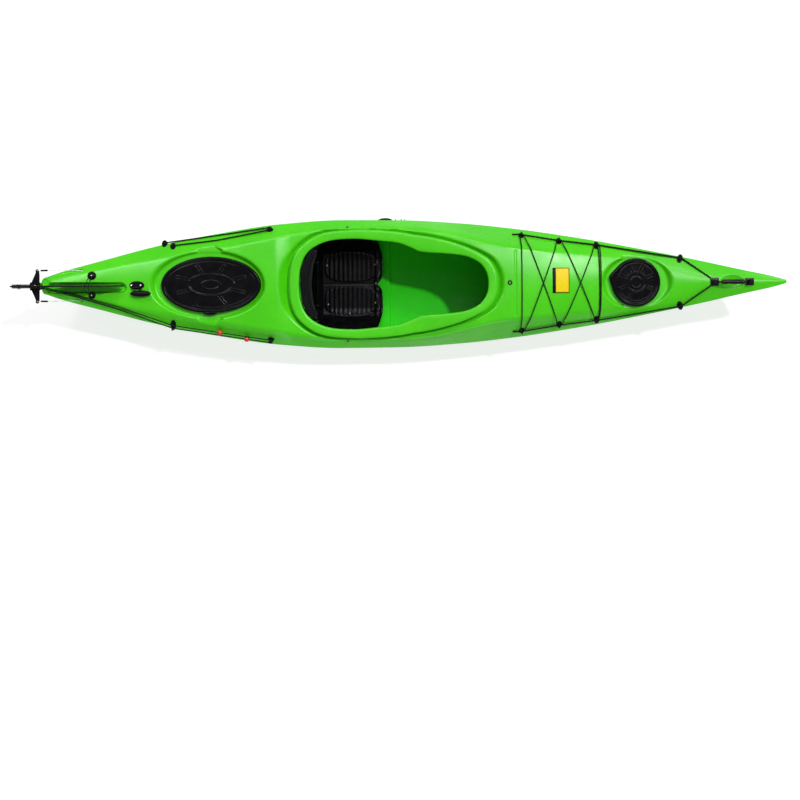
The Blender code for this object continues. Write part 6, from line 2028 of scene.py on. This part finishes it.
# The rod keeps dark steel; the two seat bolts get it as painted shade of the recess they sit in.
DARK_ROD_AND_SHADED_BOLTS = ("backrest_rod", "seat_bolt_port", "seat_bolt_starboard")
EYES = ("pad_eye", "park_eye", "lift_pad", "hold_down_p", "hold_down_s")
MOULDINGS = (
    "park_end_post", "lift_end_post", "toggle_fitting", "toggle_grip", "handle_tab_aft", "handle_tab_fore",
    "seat_hanger_port", "seat_hanger_starboard", "side_fitting",
)
RUDDER_PARTS = ("rudder_blade", "rudder_housing", "rudder_yoke")
SWELLS: dict[str, Point] = {"handle_tab_aft": (1.0, 1.22, 1.0), "handle_tab_fore": (1.0, 1.6, 1.0)}
EYE_SWELL: Point = (1.2, 1.2, 1.08)
PLUG: Point = (0.483, 0.003, 0.3575)
SIDE_HEADS = (-0.086, -0.058, -0.04)
COVERS = (
    Cover(
        "stern_cover_shell", "stern_hatch_cover", "stern_cover", STERN_HATCH, (0.115, 0.054), 0.4, 0.74,
        dots=((-0.175, 0.018), (0.175, -0.007), (-0.086, 0.094), (0.086, -0.094)), tabs=((-1.022, -0.1425, 180.0),),
    ),
    Cover("bow_cover_shell", "bow_hatch_cover", "bow_cover", BOW_HATCH, (0.05, 0.05), 0.54, 0.76, beak=(167.0, 0.021)),
)


def rig(wardrobe: Wardrobe) -> None:
    """Runs every line on deck.

    Args:
        wardrobe: the finishes.
    """
    for side in ("port", "starboard"):
        Rigging(f"grab_line_{side}", 0.0044, Lay.TWIST, 0.0018, 0.026).build(wardrobe, Slot.CORD)
        Rigging(f"rudder_cable_{side}", 0.0012, Lay.WIRE, 0.002, steered=True).build(wardrobe, Slot.WIRE)
    for line in (
        Rigging("lacing_cord", 0.0026), Rigging("paddle_park_cord", 0.004, Lay.TWIST, 0.0018, 0.024),
        Rigging("hold_down_cord", 0.0017, step=0.0015, slack=0.0105), Rigging("lift_line", 0.0028),
        Rigging("toggle_loop", 0.0026, step=0.002),
    ):
        line.build(wardrobe, Slot.CORD)


def fit_out(wardrobe: Wardrobe) -> None:
    """Rounds the small fittings and adds the screws' heads.

    Args:
        wardrobe: the finishes.
    """
    black = [node for node in BODY_OF if node.startswith(EYES)] + [*MOULDINGS]
    for slot, nodes in ((Slot.BLACK, black), (Slot.RUDDER, RUDDER_PARTS)):
        for node in nodes:
            eye = "eye" in node
            swell = SWELLS.get(node, EYE_SWELL if eye else (1.0, 1.0, 1.0))
            Fitting(node, 0.0006 if eye else 0.0009, swell=swell).build(wardrobe, slot)
    rubber, steel, moulding = (wardrobe.slots[slot] for slot in (Slot.RUBBER, Slot.STEEL, Slot.BLACK))
    Handle().build(rubber)
    Head("deck_plug_ring", PLUG, 0.0122, profile=RING).build(rubber, Slot.RUBBER, ("deck_plug",))
    for name, place, radius, toward in HEADS:
        Head(name, place, radius, toward).build(steel, Slot.STEEL)
    for k, x in enumerate(SIDE_HEADS):
        Head(f"side_head_{k}", (x, 0.3305, 0.16), 0.0042, (0.0, 1.0, 0.0)).build(moulding, Slot.BLACK)


def dress_frame(wardrobe: Wardrobe) -> None:
    """Gives every CAD node that still shows the finish of its slot.

    Args:
        wardrobe: the finishes.
    """
    slots = {part["node"]: Slot(part["material_slot"]) for part in RECORD["subparts"]}
    for node, thing in frame["nodes"].items():
        material = wardrobe.slots[slots[node]]
        if not thing.material_slots:
            thing.data.materials.append(material)
        for place in thing.material_slots:
            # dark steel on the rod, and painted shade on the seat bolts
            place.material = wardrobe.rod if node in DARK_ROD_AND_SHADED_BOLTS else material


def main() -> None:
    """Builds the kayak's pieces in order."""
    logging.basicConfig(level=logging.INFO, format="%(name)s: %(message)s")
    Studio().build()
    wardrobe = Wardrobe()
    dress_frame(wardrobe)
    Shell().build(wardrobe)
    for cover in COVERS:
        cover.build(wardrobe.slots[Slot.COVER])
    Seat().build(wardrobe)
    Backrest().build(wardrobe)
    rig(wardrobe)
    fit_out(wardrobe)
    Balls().build(wardrobe)
    Plate().build(wardrobe)


if __name__ == "__main__":
    main()
